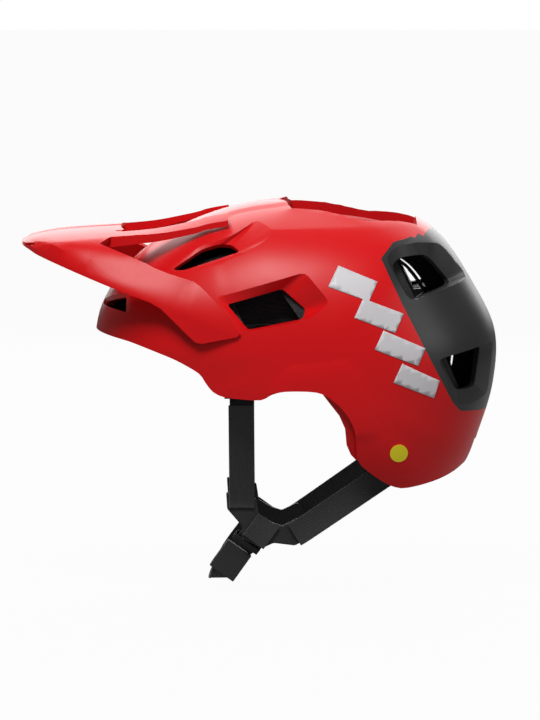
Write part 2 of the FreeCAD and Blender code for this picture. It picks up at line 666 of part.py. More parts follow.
# ---------------------------------------------------------------- straps and buckle
def ribbon(path, widths, label):
    """Flat webbing through path points, each with the direction of the webbing's width."""
    half, wall = size("strap_width") / 2, size("strap_wall")
    stations = []
    for k, spot in enumerate(path):
        after, before = path[min(k + 1, len(path) - 1)], path[max(k - 1, 0)]
        along = (Vector(*after) - Vector(*before)).normalize()
        across = Vector(*widths[k])
        across = (across - along * across.dot(along)).normalize() * half
        thick = along.cross(across).normalize() * (wall / 2)
        middle = Vector(*spot)
        ring = [middle + across + thick, middle - across + thick,
                middle - across - thick, middle + across - thick]
        stations.append(Part.makePolygon(ring + ring[:1]))
    return keep(Part.makeLoft(stations, True, True), label)


def build_straps():
    """The webbing on both sides, the dividers, the chin strap, the keeper and the buckle."""
    for side, sign in (("left", 1), ("right", -1)):
        def at(x, y, z, sign=sign):
            return (sign * x, y, z)

        wide = (0, 1, 0)
        ribbon([at(*HINGE_FRONT), at(56.0, -33.5, -62), at(55.2, -33.5, -70)],
               [wide] * 3, f"front_strap_{side}")
        ribbon([at(*HINGE_REAR), at(57.6, 10, -84.5), at(56.6, 3, -89)],
               [(0, -0.565, 0.825)] * 3, f"rear_strap_{side}")

        plate = add_part("PartDesign::Body", f"strap_divider_{side}")
        outline = new_sketch(plate, f"DividerOutline_{side}")
        draw_polygon(outline, DIVIDER)
        pad(plate, outline, f"DividerPlate_{side}", "Sizes.divider_wall")
        slots = new_sketch(plate, f"DividerSlots_{side}")
        for (ay, az), (by, bz) in DIVIDER_SLOTS:
            run = Vector(by - ay, bz - az, 0).normalize()
            off = Vector(-run.y, run.x, 0) * 1.3
            draw_polygon(slots, [(ay + off.x, az + off.y), (ay - off.x, az - off.y),
                                 (by - off.x, bz - off.y), (by + off.x, bz + off.y)])
        pocket(plate, slots, f"DividerSlotCut_{side}")
        inner = 50.0 if sign > 0 else -50.0 - size("divider_wall")
        plate.Placement = frame_at((inner, 0, 0), (0, 1, 0), (0, 0, 1))

    u, w = Vector(0, -0.58, -0.81), Vector(0, 0.81, -0.58)
    bend, left_end = Vector(47.3, -27.2, -93), Vector(41.5, -33.9, -98.5)
    ribbon([(48.9, -24.5, -90), tuple(bend), tuple(left_end)], [tuple(w)] * 3,
           "lower_strap_left")
    start = Vector(*BUCKLE)

    receiver = add_part("PartDesign::Body", "buckle_receiver")
    outline = new_sketch(receiver, "ReceiverOutline")
    draw_box(outline, "Sizes.buckle_width", "Sizes.buckle_length")
    pad(receiver, outline, "ReceiverBlock", "Sizes.buckle_wall")
    seat = new_sketch(receiver, "MagnetSeat")
    draw_circle(seat, "Sizes.magnet_radius")
    pocket(receiver, seat, "MagnetSeatCut", "Sizes.magnet_wall + 0.2")
    receiver.Placement = frame_at(tuple(start), tuple(w), tuple(u * -1))

    tongue = add_part("PartDesign::Body", "buckle_tongue")
    outline = new_sketch(tongue, "TongueOutline")
    draw_box(outline, "Sizes.buckle_width", "Sizes.buckle_length - 3")
    pad(tongue, outline, "TonguePlate", "Sizes.prong_wall")
    seat = new_sketch(tongue, "TongueSeat")
    draw_circle(seat, "Sizes.magnet_radius")
    pocket(tongue, seat, "TongueSeatCut", "Sizes.magnet_wall")
    tongue.Placement = frame_at(tuple(start - Vector(size("prong_wall") + 0.3, 0, 0)),
                                tuple(w), tuple(u * -1))
    for label, x in (("receiver_magnet", start.x), ("tongue_magnet", start.x - 3.5)):
        magnet = add_part("Part::Cylinder", label)
        bind(magnet, Radius="Sizes.magnet_radius - 0.05", Height="Sizes.magnet_wall")
        magnet.Placement = Placement(Vector(x, start.y, start.z), Rotation(Vector(0, 1, 0), 90))

    chin = [(-48.9, -24.5, -90), (-47.5, -28, -95), (-41, -38, -108), (-31, -44, -117),
            (-16, -47.5, -122.5), (0, -48.5, -124.5), (15, -47.5, -122), (26, -45.5, -116),
            (31.4, -43, -110)]
    level = Vector(0, 1, 0)
    ends = [w * (1 - s) + level * s for s in (0, 0, 0.3, 0.8, 1, 1, 1, 0.5, 0)]
    ribbon(chin, [tuple(v) for v in ends], "chin_strap")

    keeper = add_part("Part::Cut", "strap_keeper")
    ring = doc.addObject("Part::Box", "KeeperRing")
    bind(ring, Length="Sizes.strap_width + 4", Width="Sizes.keeper_length",
         Height="Sizes.strap_wall + 4.4")
    hole = doc.addObject("Part::Box", "KeeperHole")
    bind(hole, Length="Sizes.strap_width + 1.8", Width="Sizes.keeper_length + 4",
         Height="Sizes.strap_wall + 2.0")
    keeper.Base, keeper.Tool = ring, hole
    doc.recompute()
    along = left_end - bend
    middle = bend + along * 0.42
    turn = frame_at((0, 0, 0), tuple(w), tuple(along * -1)).Rotation
    for box in (ring, hole):
        half = Vector(box.Length.Value / 2, box.Width.Value / 2, box.Height.Value / 2)
        box.Placement = Placement(middle - turn.multVec(half), turn)


build_shells()
build_anchors()
build_trims()
build_peak()
build_liner()
build_cradle()
build_gearbox()
build_straps()
doc.recompute()


# ---------------------------------------------------------------- check and export
def export():
    """Checks every object, then writes one STEP file for each sub-part."""
    doc.recompute()
    for item in doc.Objects:
        bad = [s for s in item.State if s in ("Invalid", "Error")]
        if bad:
            raise RuntimeError(f"{item.Label} failed: {bad}")
    os.makedirs("parts", exist_ok=True)
    for old in os.listdir("parts"):
        os.remove(os.path.join("parts", old))
    for item in PARTS:
        shape = item.Shape
        if shape.isNull() or not shape.isValid() or shape.Volume <= 0:
            raise RuntimeError(f"{item.Label} has no valid shape")
        shape.exportStep(os.path.join("parts", f"{item.Label}.step"))
        print(f"{item.Label}: {len(shape.Solids)} solid, {shape.Volume / 1000:.2f} cm3")


export()
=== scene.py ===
"""Open-face bike helmet with a breakaway peak, dressed over its CAD frame.

Outlines are in millimetres in the frame of the CAD model: the front faces -Y, +X is the
wearer's left, and the origin is the middle of the head opening. Every finished mesh is
scaled to metres at the very end, so each object sits at the origin.
"""

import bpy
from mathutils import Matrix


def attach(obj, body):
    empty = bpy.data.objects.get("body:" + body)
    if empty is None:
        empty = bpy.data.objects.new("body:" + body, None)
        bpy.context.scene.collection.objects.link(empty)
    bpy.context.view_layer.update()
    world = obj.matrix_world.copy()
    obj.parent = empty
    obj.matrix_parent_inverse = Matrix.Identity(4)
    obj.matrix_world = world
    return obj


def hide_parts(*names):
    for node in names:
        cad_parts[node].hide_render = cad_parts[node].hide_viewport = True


bl_info = {
    "name": "Trail helmet",
    "version": (1, 0, 0),
    "blender": (4, 5, 0),
    "location": "View3D > Sidebar > Helmet",
    "description": "Builds the visible pieces of an open-face bike helmet",
    "category": "Add Mesh",
}

import bisect
import math

import bmesh
import bpy
from mathutils import Matrix, Vector

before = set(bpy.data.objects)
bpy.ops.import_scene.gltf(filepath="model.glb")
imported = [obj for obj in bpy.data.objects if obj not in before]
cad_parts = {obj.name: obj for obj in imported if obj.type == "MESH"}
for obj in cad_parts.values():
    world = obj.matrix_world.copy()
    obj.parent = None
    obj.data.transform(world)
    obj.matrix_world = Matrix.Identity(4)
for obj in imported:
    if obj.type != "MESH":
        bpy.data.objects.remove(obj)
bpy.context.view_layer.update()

MM = 0.001
FAR = 400.0  # further than any outline, mm
SPINE = 14.0  # half width of the upright rib between the outlets, mm
SMALL_EDGE = 0.0006  # rounding of the small moulded pieces, m
DIVIDER_FACES = (50.0, 54.4)  # inner and outer face of a strap divider, mm
FLOOR_HEIGHT = -131.0  # mm
SWELL = 0.0012  # most that a pad swells, m
CAMERA_REACH = 6.0  # distance from the camera to what it looks at, m
VIEW_WIDTH = 0.378  # width that the camera takes in at that distance, m

# Outlines, in (y, z) unless a line says otherwise.
PROFILE = [
    (10, -92), (-85, -52), (-130, 28), (-134.5, 57), (-121, 86), (-97, 110),
    (-66, 127), (-28, 138.5), (12, 140.8), (50, 137.5), (84, 129), (106, 115),
    (127, 84), (143, 50), (142, 14), (132, -20), (121, -46), (92, -78),
]
PEAK_PROFILE = [
    (0, -95), (-110, -50), (-188, 62), (-191, 88), (-188.5, 107), (-184, 115), (-165, 120),
    (-140, 122.3), (-103, 125), (-75, 130.8), (-52, 136.8), (-20, 141.8), (12, 144), (60, 141),
    (110, 120), (140, 60), (130, -20), (90, -80),
]
RIM = [
    (-150, 55), (-131, 50.5), (-111, 47), (-95.5, 41.9), (-78.9, 36), (-62.2, 27), (-58, 19.7),
    (-53.2, 13.8), (-45.6, 10.4), (-19.5, 8.6), (-12.6, 13.4), (-4.4, 15.5), (12.1, 15.5),
    (22.1, 14.2), (33.6, 5.7), (41.6, -4.8), (45.1, -14.3), (45.7, -26.6), (47, -35.3),
    (53.3, -41.4), (66, -51), (76.4, -55.4), (90.4, -53.2), (104.3, -49.8), (114.9, -45.6),
    (123, -39.7), (150, -26),
]
SEAM = [
    (-150, 71.7), (-138, 70), (-102.7, 65), (-62.2, 46.7), (-36, 52.3), (12.1, 62), (24.3, 55.7),
    (33.7, 57.6), (55.1, 65.5), (79, 74.5),
]
REAR_EDGE = [
    (160, -5), (130, -3), (118, -1.7), (112.7, 4.5), (77.5, 73.9), (62.7, 105.3), (71.3, 115.4),
    (86, 118.5), (105, 123), (118, 126),
]
SIDE_RECESS = [(-51.8, 79), (10.1, 96.8), (27.3, 76.5), (12.6, 64.6), (-31, 56)]
SIDE_MOUTH = [(-43.5, 74.5), (-5.5, 85), (10.5, 71), (8.5, 64.5), (-29, 57.2)]
SIDE_DEPTHS = [3.5, 9, 12, 8, 4]
SCOOP_RECESS = [(-84.5, 96.5), (-62.8, 112.3), (-42, 119), (-23, 130), (-12, 124.2), (-14.5, 119),
                (-34, 107.2), (-74, 95.2)]
SCOOP_MOUTH = [(-82, 97), (-62.2, 110.9), (-51, 115), (-41.5, 116.2), (-35.3, 112.6),
               (-36.4, 110.8), (-41.5, 108.8), (-74, 97)]
SCOOP_DEPTHS = [1, 1.5, 2, 3, 3.5, 3.5, 2, 1]
BROW_RECESS = [(9, 61), (9, 72), (52, 79.5), (64, 66.5), (59, 61.5)]  # (x, z)
BROW_MOUTH = [(13, 63.5), (13, 69.5), (49, 76), (57, 66), (54, 63.5)]
TOP_RECESS = [(-5, -8), (0, -8), (42, 1), (44, 19), (53, 47), (53, 56), (36, 88), (0, 88),
              (-5, 88)]  # (x, y)
TOP_FLOOR = [(-5, -5), (0, -5), (40, 3), (42, 20), (51, 47), (51, 55), (34.5, 85), (0, 85), (-5, 85)]
TOP_VENT = [(13, 8), (27, 12), (31, 24), (41, 47), (42, 56), (33, 76), (13, 78)]
PORT_RECESS_HIGH = [(65.5, 106), (73, 113), (88, 115), (104, 113), (124, 88), (82.5, 76)]
PORT_MOUTH_HIGH = [(74, 101.5), (80.5, 106), (97, 107), (103, 102), (116, 86), (87, 76.5)]
PORT_RECESS_LOW = [(102, 36), (141, 44.5), (137, 8), (124, 1.5), (116, 4)]
PORT_MOUTH_LOW = [(107, 35.5), (135, 42.5), (131, 14), (124, 12.5), (117.6, 13)]
DIAL_NOTCH = [(-5, -25), (24, -25), (32, -80)]  # (x, z), at the nape
SHOULDER = [(-52, 118), (-12.1, 124.4), (27.6, 125), (61.4, 125.6), (80, 127)]
FLARE = [(-16, 18), (-2.3, 33), (38, 37.8), (47.2, 33), (58, 8), (62, -16)]
TEMPLE_LINE = [(-118, 68), (-92, 62), (-66, 42), (-53, 13.8)]
PEAK_BAND = [
    (-195, 112), (-189, 110.5), (-176, 105.5), (-124.7, 86), (-97, 76), (-89.7, 72), (-65.6, 49),
    (-60.9, 48), (-36.7, 52.8), (-34.3, 55.2), (-52.3, 77.7), (-62, 87), (-66.8, 90.3),
    (-82.6, 95), (-99.4, 101), (-119.7, 106.5), (-137.9, 112), (-170, 109.5), (-195, 110),
]
PEAK_PLATE = [(-5, -205), (110, -205), (110, -138), (74, -138), (57, -124), (42, -118), (-5, -118)]
PEAK_LEG = [(42, -126), (57, -126), (55, -43), (43, -43)]
PEAK_FOLD = [(-189, 111.5), (-169, 112), (-138, 113), (-119.7, 106.5), (-99.4, 101), (-66.8, 90.3)]
MARKS = [  # slanted bars on each side
    [(26, 87), (54, 77), (60, 90), (33, 101)],
    [(44, 66), (72, 55), (78, 68), (50, 79)],
    [(58, 44), (88, 32), (93, 44), (64, 57)],
    [(71, 21), (99, 9), (103, 21), (77, 34)],
]


def eased(outline, radius=5.0, closed=True):
    """An outline with each corner turned into three points of a small arc."""
    result = []
    for k, corner in enumerate(outline):
        if not closed and k in (0, len(outline) - 1):
            result.append(tuple(corner))
            continue
        corner = Vector(corner)
        before = Vector(outline[k - 1]) - corner
        after = Vector(outline[(k + 1) % len(outline)]) - corner
        start = corner + before.normalized() * min(radius, before.length * 0.38)
        end = corner + after.normalized() * min(radius, after.length * 0.38)
        middle = corner * 0.5 + (start + end) * 0.25
        result += [tuple(start), tuple(middle), tuple(end)]
    return result


def curve_spot(a, b, c, d, share):
    """A point between b and c on the smooth curve through four points."""
    t = share
    return 0.5 * (2 * b + (c - a) * t + (2 * a - 5 * b + 4 * c - d) * t * t
                  + (3 * b - a - 3 * c + d) * t ** 3)


def tripled(depths):
    """The depth of each corner, for the three points of its arc."""
    return [d for d in depths for _ in range(3)]


# ---------------------------------------------------------------- settings
class HelmetSettings(bpy.types.PropertyGroup):
    """Sizes and colours that a user may change."""

    shell_colour: bpy.props.FloatVectorProperty(
        name="Shell colour", description="Satin paint of the shells and the peak",
        default=(0.63, 0.004, 0.006), size=3, min=0.0, max=1.0, subtype="COLOR")
    cover_colour: bpy.props.FloatVectorProperty(
        name="Cover colour", description="Rear cover", default=(0.017, 0.017, 0.018),
        size=3, min=0.0, max=1.0, subtype="COLOR")
    webbing_colour: bpy.props.FloatVectorProperty(
        name="Webbing colour", description="Woven straps", default=(0.018, 0.018, 0.019),
        size=3, min=0.0, max=1.0, subtype="COLOR")
    shell_wall: bpy.props.FloatProperty(
        name="Shell wall", description="Thickness of the moulded shells", default=0.0022,
        min=0.001, max=0.004, unit="LENGTH")
    peak_wall: bpy.props.FloatProperty(
        name="Peak wall", description="Thickness of the peak", default=0.0026,
        min=0.001, max=0.004, unit="LENGTH")
    webbing_width: bpy.props.FloatProperty(
        name="Webbing width", description="Width of the straps", default=0.0175,
        min=0.012, max=0.025, unit="LENGTH")
    webbing_wall: bpy.props.FloatProperty(
        name="Webbing thickness", description="Thickness of the straps", default=0.0015,
        min=0.0008, max=0.003, unit="LENGTH")
    bevel_width: bpy.props.FloatProperty(
        name="Edge rounding", description="Rounding of moulded edges", default=0.0008,
        min=0.0, max=0.003, unit="LENGTH")


def settings():
    """The settings of the open scene."""
    return bpy.context.scene.helmet_settings


# ---------------------------------------------------------------- shader writing
class Num:
    """A number that changes over a surface; arithmetic on it adds Math nodes."""

    def __init__(self, shader, socket):
        self.shader = shader
        self.socket = socket

    def _math(self, operation, first, second=None):
        links = {0: first} if second is None else {0: first, 1: second}
        node = self.shader.node("ShaderNodeMath", {"operation": operation}, links)
        return Num(self.shader, node.outputs[0])

    def __add__(self, other):
        return self._math("ADD", self, other)

    def __radd__(self, other):
        return self._math("ADD", other, self)

    def __sub__(self, other):
        return self._math("SUBTRACT", self, other)

    def __rsub__(self, other):
        return self._math("SUBTRACT", other, self)

    def __mul__(self, other):
        return self._math("MULTIPLY", self, other)

    def __rmul__(self, other):
        return self._math("MULTIPLY", other, self)

    def wave(self):
        return self._math("SINE", self)

    def size(self):
        return self._math("ABSOLUTE", self)

    def least(self, other):
        return self._math("MINIMUM", self, other)

    def most(self, other):
        return self._math("MAXIMUM", self, other)


class Shader:
    """A material with a Principled shader and one way to add any other node."""

    def __init__(self, name, **fixed):
        self.material = bpy.data.materials.new(name)
        self.material.use_nodes = True
        self.tree = self.material.node_tree
        self.surface = self.tree.nodes["Principled BSDF"]
        for socket, value in fixed.items():
            target = self.surface.inputs[socket.replace("_", " ")]
            target.default_value = (*value, 1.0) if isinstance(value, (tuple, list)) else value

    def node(self, kind, options=None, links=None):
        """Adds a node, sets its options first and then its sockets."""
        made = self.tree.nodes.new(kind)
        for key, value in (options or {}).items():
            setattr(made, key, value)
        for key, value in (links or {}).items():
            target = made.inputs[key]
            if isinstance(value, Num):
                self.tree.links.new(value.socket, target)
            elif isinstance(value, bpy.types.NodeSocket):
                self.tree.links.new(value, target)
            else:
                target.default_value = value
        return made

    def coordinates(self, kind="Object"):
        return self.node("ShaderNodeTexCoord").outputs[kind]

    def parts(self, vector):
        split = self.node("ShaderNodeSeparateXYZ", {}, {0: vector})
        return [Num(self, socket) for socket in split.outputs]

    def noise(self, scale, detail=2.0):
        made = self.node("ShaderNodeTexNoise", {}, {
            "Vector": self.coordinates(), "Scale": scale, "Detail": detail, "Roughness": 0.5})
        return Num(self, made.outputs[0])

    def cells(self, scale, feature="F1"):
        made = self.node("ShaderNodeTexVoronoi", {"feature": feature}, {
            "Vector": self.coordinates(), "Scale": scale})
        return Num(self, made.outputs["Distance"])

    def mix(self, share, first, second):
        """A colour between two colours."""
        def colour(value):
            return (*value, 1.0) if isinstance(value, (tuple, list)) else value

        made = self.node("ShaderNodeMix", {"data_type": "RGBA"}, {
            0: share, 6: colour(first), 7: colour(second)})
        return made.outputs[2]

    def bump(self, height, strength=0.3, distance=0.0005):
        made = self.node("ShaderNodeBump", {}, {
            "Height": height, "Strength": strength, "Distance": distance})
        self.feed("Normal", made.outputs[0])

    def feed(self, socket, value):
        source = value.socket if isinstance(value, Num) else value
        self.tree.links.new(source, self.surface.inputs[socket])


def satin_paint(name, colour, roughness=0.36, specular=0.22):
    """Satin paint over moulded plastic, with faint cloudiness and a fine orange peel."""
    shader = Shader(name, Specular_IOR_Level=specular, Coat_Weight=specular * 0.3,
                    Coat_Roughness=0.4)
    cloud = shader.noise(9.0, 3.0)
    dust = shader.noise(260.0, 2.0)
    darker = tuple(c * 0.90 for c in colour)
    shader.feed("Base Color", shader.mix(cloud * 0.8, colour, darker))
    shader.feed("Roughness", roughness + (dust - 0.5) * 0.05 + (cloud - 0.5) * 0.06)
    shader.bump(shader.noise(1500.0, 2.0) * 0.6 + shader.noise(420.0) * 0.4, 0.10, 0.0002)
    return shader.material


def moulded_plastic(name, colour, roughness=0.5, grain=1800.0, strength=0.25):
    """Textured moulded plastic with a spark-eroded grain."""
    shader = Shader(name, Specular_IOR_Level=0.45)
    cloud = shader.noise(14.0, 3.0)
    lighter = tuple(min(1.0, c * 1.35 + 0.004) for c in colour)
    shader.feed("Base Color", shader.mix(cloud, colour, lighter))
    shader.feed("Roughness", roughness + (cloud - 0.5) * 0.12)
    shader.bump(shader.cells(grain) * 0.5 + shader.noise(grain * 0.6) * 0.5, strength, 0.0003)
    return shader.material


def bead_foam(name, colour):
    """Expanded foam: tightly packed beads, each a little different in tone."""
    shader = Shader(name, Specular_IOR_Level=0.3)
    edge = shader.cells(620.0, "DISTANCE_TO_EDGE")
    tone = shader.noise(500.0, 1.0)
    lighter = tuple(min(1.0, c * 2.0 + 0.008) for c in colour)
    groove = (edge * 9.0).least(1.0)
    shader.feed("Base Color", shader.mix(groove * (0.45 + tone * 0.5), colour, lighter))
    shader.feed("Roughness", 0.82 - groove * 0.12)
    shader.bump(groove, 0.5, 0.0005)
    return shader.material


def woven_webbing(name, colour):
    """Ribbed polyester webbing; u runs across the strap and v along it, in metres."""
    shader = Shader(name, Specular_IOR_Level=0.25, Sheen_Weight=0.25, Sheen_Roughness=0.5)
    across, along, _ = shader.parts(shader.coordinates("UV"))
    ribs = (across * (math.tau / 0.0011)).wave() * 0.5 + 0.5
    picks = (along * (math.tau / 0.0009) + ribs * 2.2).wave() * 0.5 + 0.5
    edge = (across.size() - 0.0078).most(0.0) * 500.0
    thread = ribs * 0.55 + picks * 0.45
    lighter = tuple(c * 2.6 + 0.012 for c in colour)
    shader.feed("Base Color", shader.mix(thread * 0.8, colour, lighter))
    shader.feed("Roughness", 0.86 - thread * 0.18)
    shader.bump(thread * 0.8 + edge.least(1.0) * 0.4 + shader.noise(900.0) * 0.2, 0.55, 0.0006)
    return shader.material


def pad_cloth(name, colour):
    """Brushed knit over comfort foam."""
    shader = Shader(name, Specular_IOR_Level=0.15, Sheen_Weight=0.5, Sheen_Roughness=0.45)
    x, y, z = shader.parts(shader.coordinates())
    knit = ((x + y) * 3300.0).wave() * ((z - y) * 3300.0).wave() * 0.5 + 0.5
    cloud = shader.noise(60.0, 3.0)
    lighter = tuple(c * 2.0 + 0.01 for c in colour)
    shader.feed("Base Color", shader.mix(knit * 0.6 + cloud * 0.3, colour, lighter))
    shader.feed("Roughness", 0.85 + (cloud - 0.5) * 0.15)
    shader.bump(knit * 0.7 + shader.noise(700.0, 3.0) * 0.3, 0.4, 0.0004)
    return shader.material


def plated_metal(name, colour):
    """Plated steel with faint brushing and wear."""
    shader = Shader(name, Metallic=1.0)
    x, _, _ = shader.parts(shader.coordinates())
    brush = (x * 5200.0 + shader.noise(300.0) * 6.0).wave() * 0.5 + 0.5
    wear = shader.noise(45.0, 4.0)
    darker = tuple(c * 0.72 for c in colour)
    shader.feed("Base Color", shader.mix(wear, colour, darker))
    shader.feed("Roughness", 0.24 + wear * 0.18)
    shader.bump(brush, 0.1, 0.0002)
    return shader.material


def printed_ink(name, colour):
    """Matt print on the shell."""
    shader = Shader(name, Specular_IOR_Level=0.4)
    speck = shader.noise(800.0, 2.0)
    darker = tuple(c * 0.86 for c in colour)
    shader.feed("Base Color", shader.mix(speck * 0.5, colour, darker))
    shader.feed("Roughness", 0.45 + (speck - 0.5) * 0.1)
    shader.bump(speck, 0.08, 0.0002)
    return shader.material


MATERIALS = {}


def material(name):
    """The finished materials, each made once."""
    if not MATERIALS:
        red, cover = tuple(settings().shell_colour), tuple(settings().cover_colour)
        MATERIALS.update({
            "red": satin_paint("satin_red", red),
            # the recess red is the shell red at three quarters brightness: painted shade for the floor
            # and walls of the top recess, with duller and rougher paint
            "red_painted_shade": satin_paint("red_recess_painted_shade", tuple(c * 0.75 for c in red), 0.75, 0.08),
            "cover": moulded_plastic("satin_black_cover", cover, 0.38, 2600.0, 0.10),
            "foam": bead_foam("bead_foam", (0.011, 0.011, 0.012)),
            "slip": moulded_plastic("slip_sheet", (0.03, 0.03, 0.032), 0.4, 900.0, 0.1),
            "black": moulded_plastic("black_plastic", (0.012, 0.012, 0.013), 0.62),
            "webbing": woven_webbing("webbing", tuple(settings().webbing_colour)),
            "pad": pad_cloth("pad_cloth", (0.03, 0.03, 0.033)),
            "metal": plated_metal("magnet_plating", (0.62, 0.62, 0.64)),
            "yellow": printed_ink("yellow_badge", (0.83, 0.72, 0.01)),
            "grey": printed_ink("pale_grey_print", (0.60, 0.58, 0.60)),
        })
    return MATERIALS[name]


# ---------------------------------------------------------------- the form
class Dome:
    """A side profile about a centre line along X that shrinks to both sides."""

    def __init__(self, profile, half_width, power, centre=(10.0, 35.0)):
        self.half_width, self.power, self.centre = half_width, power, centre
        count, table = len(profile), []
        for k in range(count):
            a, b, c, d = (Vector(profile[(k + j) % count]) for j in (-1, 0, 1, 2))
            for step in range(12):
                out = curve_spot(a, b, c, d, step / 12) - Vector(centre)
                table.append((math.atan2(out.y, out.x), out.length))
        table.sort()
        self.angles = [a for a, _ in table]
        self.reaches = [r for _, r in table]

    def reach(self, angle):
        """Distance from the centre line to the profile at an angle."""
        k = bisect.bisect(self.angles, angle) % len(self.angles)
        a, b = self.angles[k - 1], self.angles[k]
        gap = (b - a) % math.tau
        share = ((angle - a) % math.tau) / gap if gap else 0.0
        return self.reaches[k - 1] * (1 - share) + self.reaches[k] * share

    def level(self, x, y, z, depth=0.0):
        """1 on the surface, less inside."""
        dy, dz = y - self.centre[0], z - self.centre[1]
        outer = self.reach(math.atan2(dz, dy)) - depth
        across = abs(x) / (self.half_width - depth)
        return across ** self.power + (math.hypot(dy, dz) / outer) ** self.power

    def spot(self, direction, depth=0.0):
        """The point of the surface in a direction from the centre."""
        x, y, z = direction
        level = self.level(x, self.centre[0] + y, self.centre[1] + z, depth)
        share = level ** (-1 / self.power)
        return Vector((x * share, self.centre[0] + y * share, self.centre[1] + z * share))

    def meet(self, view, a, b, depth=0.0):
        """The surface point whose two seen coordinates are a and b."""
        place = {"x": lambda t: (t, a, b), "z": lambda t: (a, b, 35 + t),
                 "y": lambda t: (a, 10 - t, b)}[view]
        low, high = 0.0, 260.0
        for _ in range(26):
            middle = (low + high) / 2
            if self.level(*place(middle), depth) < 1:
                low = middle
            else:
                high = middle
        return Vector(place(low))


SHELL = Dome(PROFILE, 106.0, 2.4)
PEAK = Dome(PEAK_PROFILE, 105.0, 2.6)
SEEN = {"x": (1, 2), "y": (0, 2), "z": (0, 1)}


def seen(view, spot):
    """The two coordinates of a point that a view shows."""
    a, b = SEEN[view]
    return Vector((spot[a], spot[b]))


def inside(outline, spot):
    """Whether a seen point lies inside a closed outline."""
    result = False
    for k in range(len(outline)):
        (ax, ay), (bx, by) = outline[k - 1], outline[k]
        if (ay > spot.y) != (by > spot.y) and spot.x < (bx - ax) * (spot.y - ay) / (by - ay) + ax:
            result = not result
    return result


def nearest_run(outline, spot, closed=True):
    """The run of an outline nearest to a seen point, the share along it, and the distance."""
    best = (0, 0.0, 1e9)
    for k in range(len(outline) if closed else len(outline) - 1):
        start, end = Vector(outline[k]), Vector(outline[(k + 1) % len(outline)])
        run = end - start
        share = max(0.0, min(1.0, (spot - start).dot(run) / run.length_squared))
        gap = (start + run * share - spot).length
        if gap < best[2]:
            best = (k, share, gap)
    return best


def faces_where(bm, test):
    """The faces whose middle passes a test."""
    return [f for f in bm.faces if test(f.calc_center_median())]


def half_dome(dome, cuts=44):
    """The +X half of a dome as an even sheet of squares."""
    bm = bmesh.new()
    bmesh.ops.create_cube(bm, size=2.0)
    bmesh.ops.subdivide_edges(bm, edges=bm.edges[:], cuts=cuts, use_grid_fill=True)
    for vert in bm.verts:
        vert.co = dome.spot([math.tan(c * math.pi / 4) for c in vert.co])
    cut_away(bm, (0, 0, 0), (-1, 0, 0))
    return bm


def cut_away(bm, spot, normal):
    """Cuts off all that lies beyond a plane."""
    bmesh.ops.bisect_plane(bm, geom=bm.verts[:] + bm.edges[:] + bm.faces[:], dist=0.001,
                           plane_co=spot, plane_no=normal, clear_outer=True)


def score(bm, outline, view, where=lambda c: True, closed=True, reach=7.0):
    """Cuts edges into the sheet along an outline, as a knife would."""
    runs = list(zip(outline, outline[1:] + outline[:1])) if closed else list(
        zip(outline, outline[1:]))
    a, b = SEEN[view]
    for start, end in runs:
        start, run = Vector(start), Vector(end) - Vector(start)
        length = run.length
        run.normalize()
        spot, normal = Vector((0, 0, 0)), Vector((0, 0, 0))
        spot[a], spot[b] = start
        normal[a], normal[b] = -run.y, run.x

        def near(c):
            gap = seen(view, c) - start
            return (-reach < gap.dot(run) < length + reach
                    and abs(gap.x * -run.y + gap.y * run.x) < reach and where(c))

        faces = faces_where(bm, near)
        edges = list({e for f in faces for e in f.edges})
        verts = list({v for f in faces for v in f.verts})
        bmesh.ops.bisect_plane(bm, geom=verts + edges + faces, dist=0.02, plane_co=spot,
                               plane_no=normal)


def points_of(new):
    """The vertices among the things that an extrusion made."""
    return [v for v in new if isinstance(v, bmesh.types.BMVert)]


def drop(bm, faces):
    """Deletes faces."""
    bmesh.ops.delete(bm, geom=faces, context="FACES")


def sink_vent(bm, dome, view, recess, mouth, depths, wall, where=lambda c: True, inward=None):
    """Opens a vent: sloping sides from the recess outline to the mouth, then straight walls."""
    drop(bm, faces_where(bm, lambda c: inside(recess, seen(view, c)) and where(c)))
    ring = [e for e in bm.edges if e.is_boundary and all(
        nearest_run(recess, seen(view, v.co))[2] < 0.35 and where(v.co) for v in e.verts)]
    new = bmesh.ops.extrude_edge_only(bm, edges=ring)["geom"]
    axis = {"x": Vector((-1, 0, 0)), "y": Vector((0, 1, 0)), "z": Vector((0, 0, -1))}[view]
    if inward:
        axis = Vector(inward)
    for vert in points_of(new):
        run, share, _ = nearest_run(recess, seen(view, vert.co))
        after = (run + 1) % len(recess)
        target = Vector(mouth[run]).lerp(Vector(mouth[after]), share)
        depth = depths[run] * (1 - share) + depths[after] * share
        vert.co = dome.meet(view, *target) + axis * depth
    ring = [e for e in new if isinstance(e, bmesh.types.BMEdge) and e.is_boundary]
    new = bmesh.ops.extrude_edge_only(bm, edges=ring)["geom"]
    bmesh.ops.translate(bm, verts=points_of(new), vec=axis * wall)


def bend_along(bm, line, above, below, reach=18.0, where=lambda c: True):
    """Gives the sheet a crease along a side view line, by small moves that fade away from it."""
    bm.normal_update()
    moves = []
    for vert in bm.verts:
        if not where(vert.co):
            continue
        spot = Vector((vert.co.y, vert.co.z))
        run, share, gap = nearest_run(line, spot, False)
        start, end = Vector(line[run]), Vector(line[run + 1])
        slope = above if (end - start).cross(spot - start) > 0 else below
        at_end = (run == 0 and share <= 0) or (run == len(line) - 2 and share >= 1)
        if gap < 5 * reach and not at_end:
            moves.append((vert, vert.normal * (slope * gap * math.exp(-gap / reach))))
    for vert, move in moves:
        vert.co += move


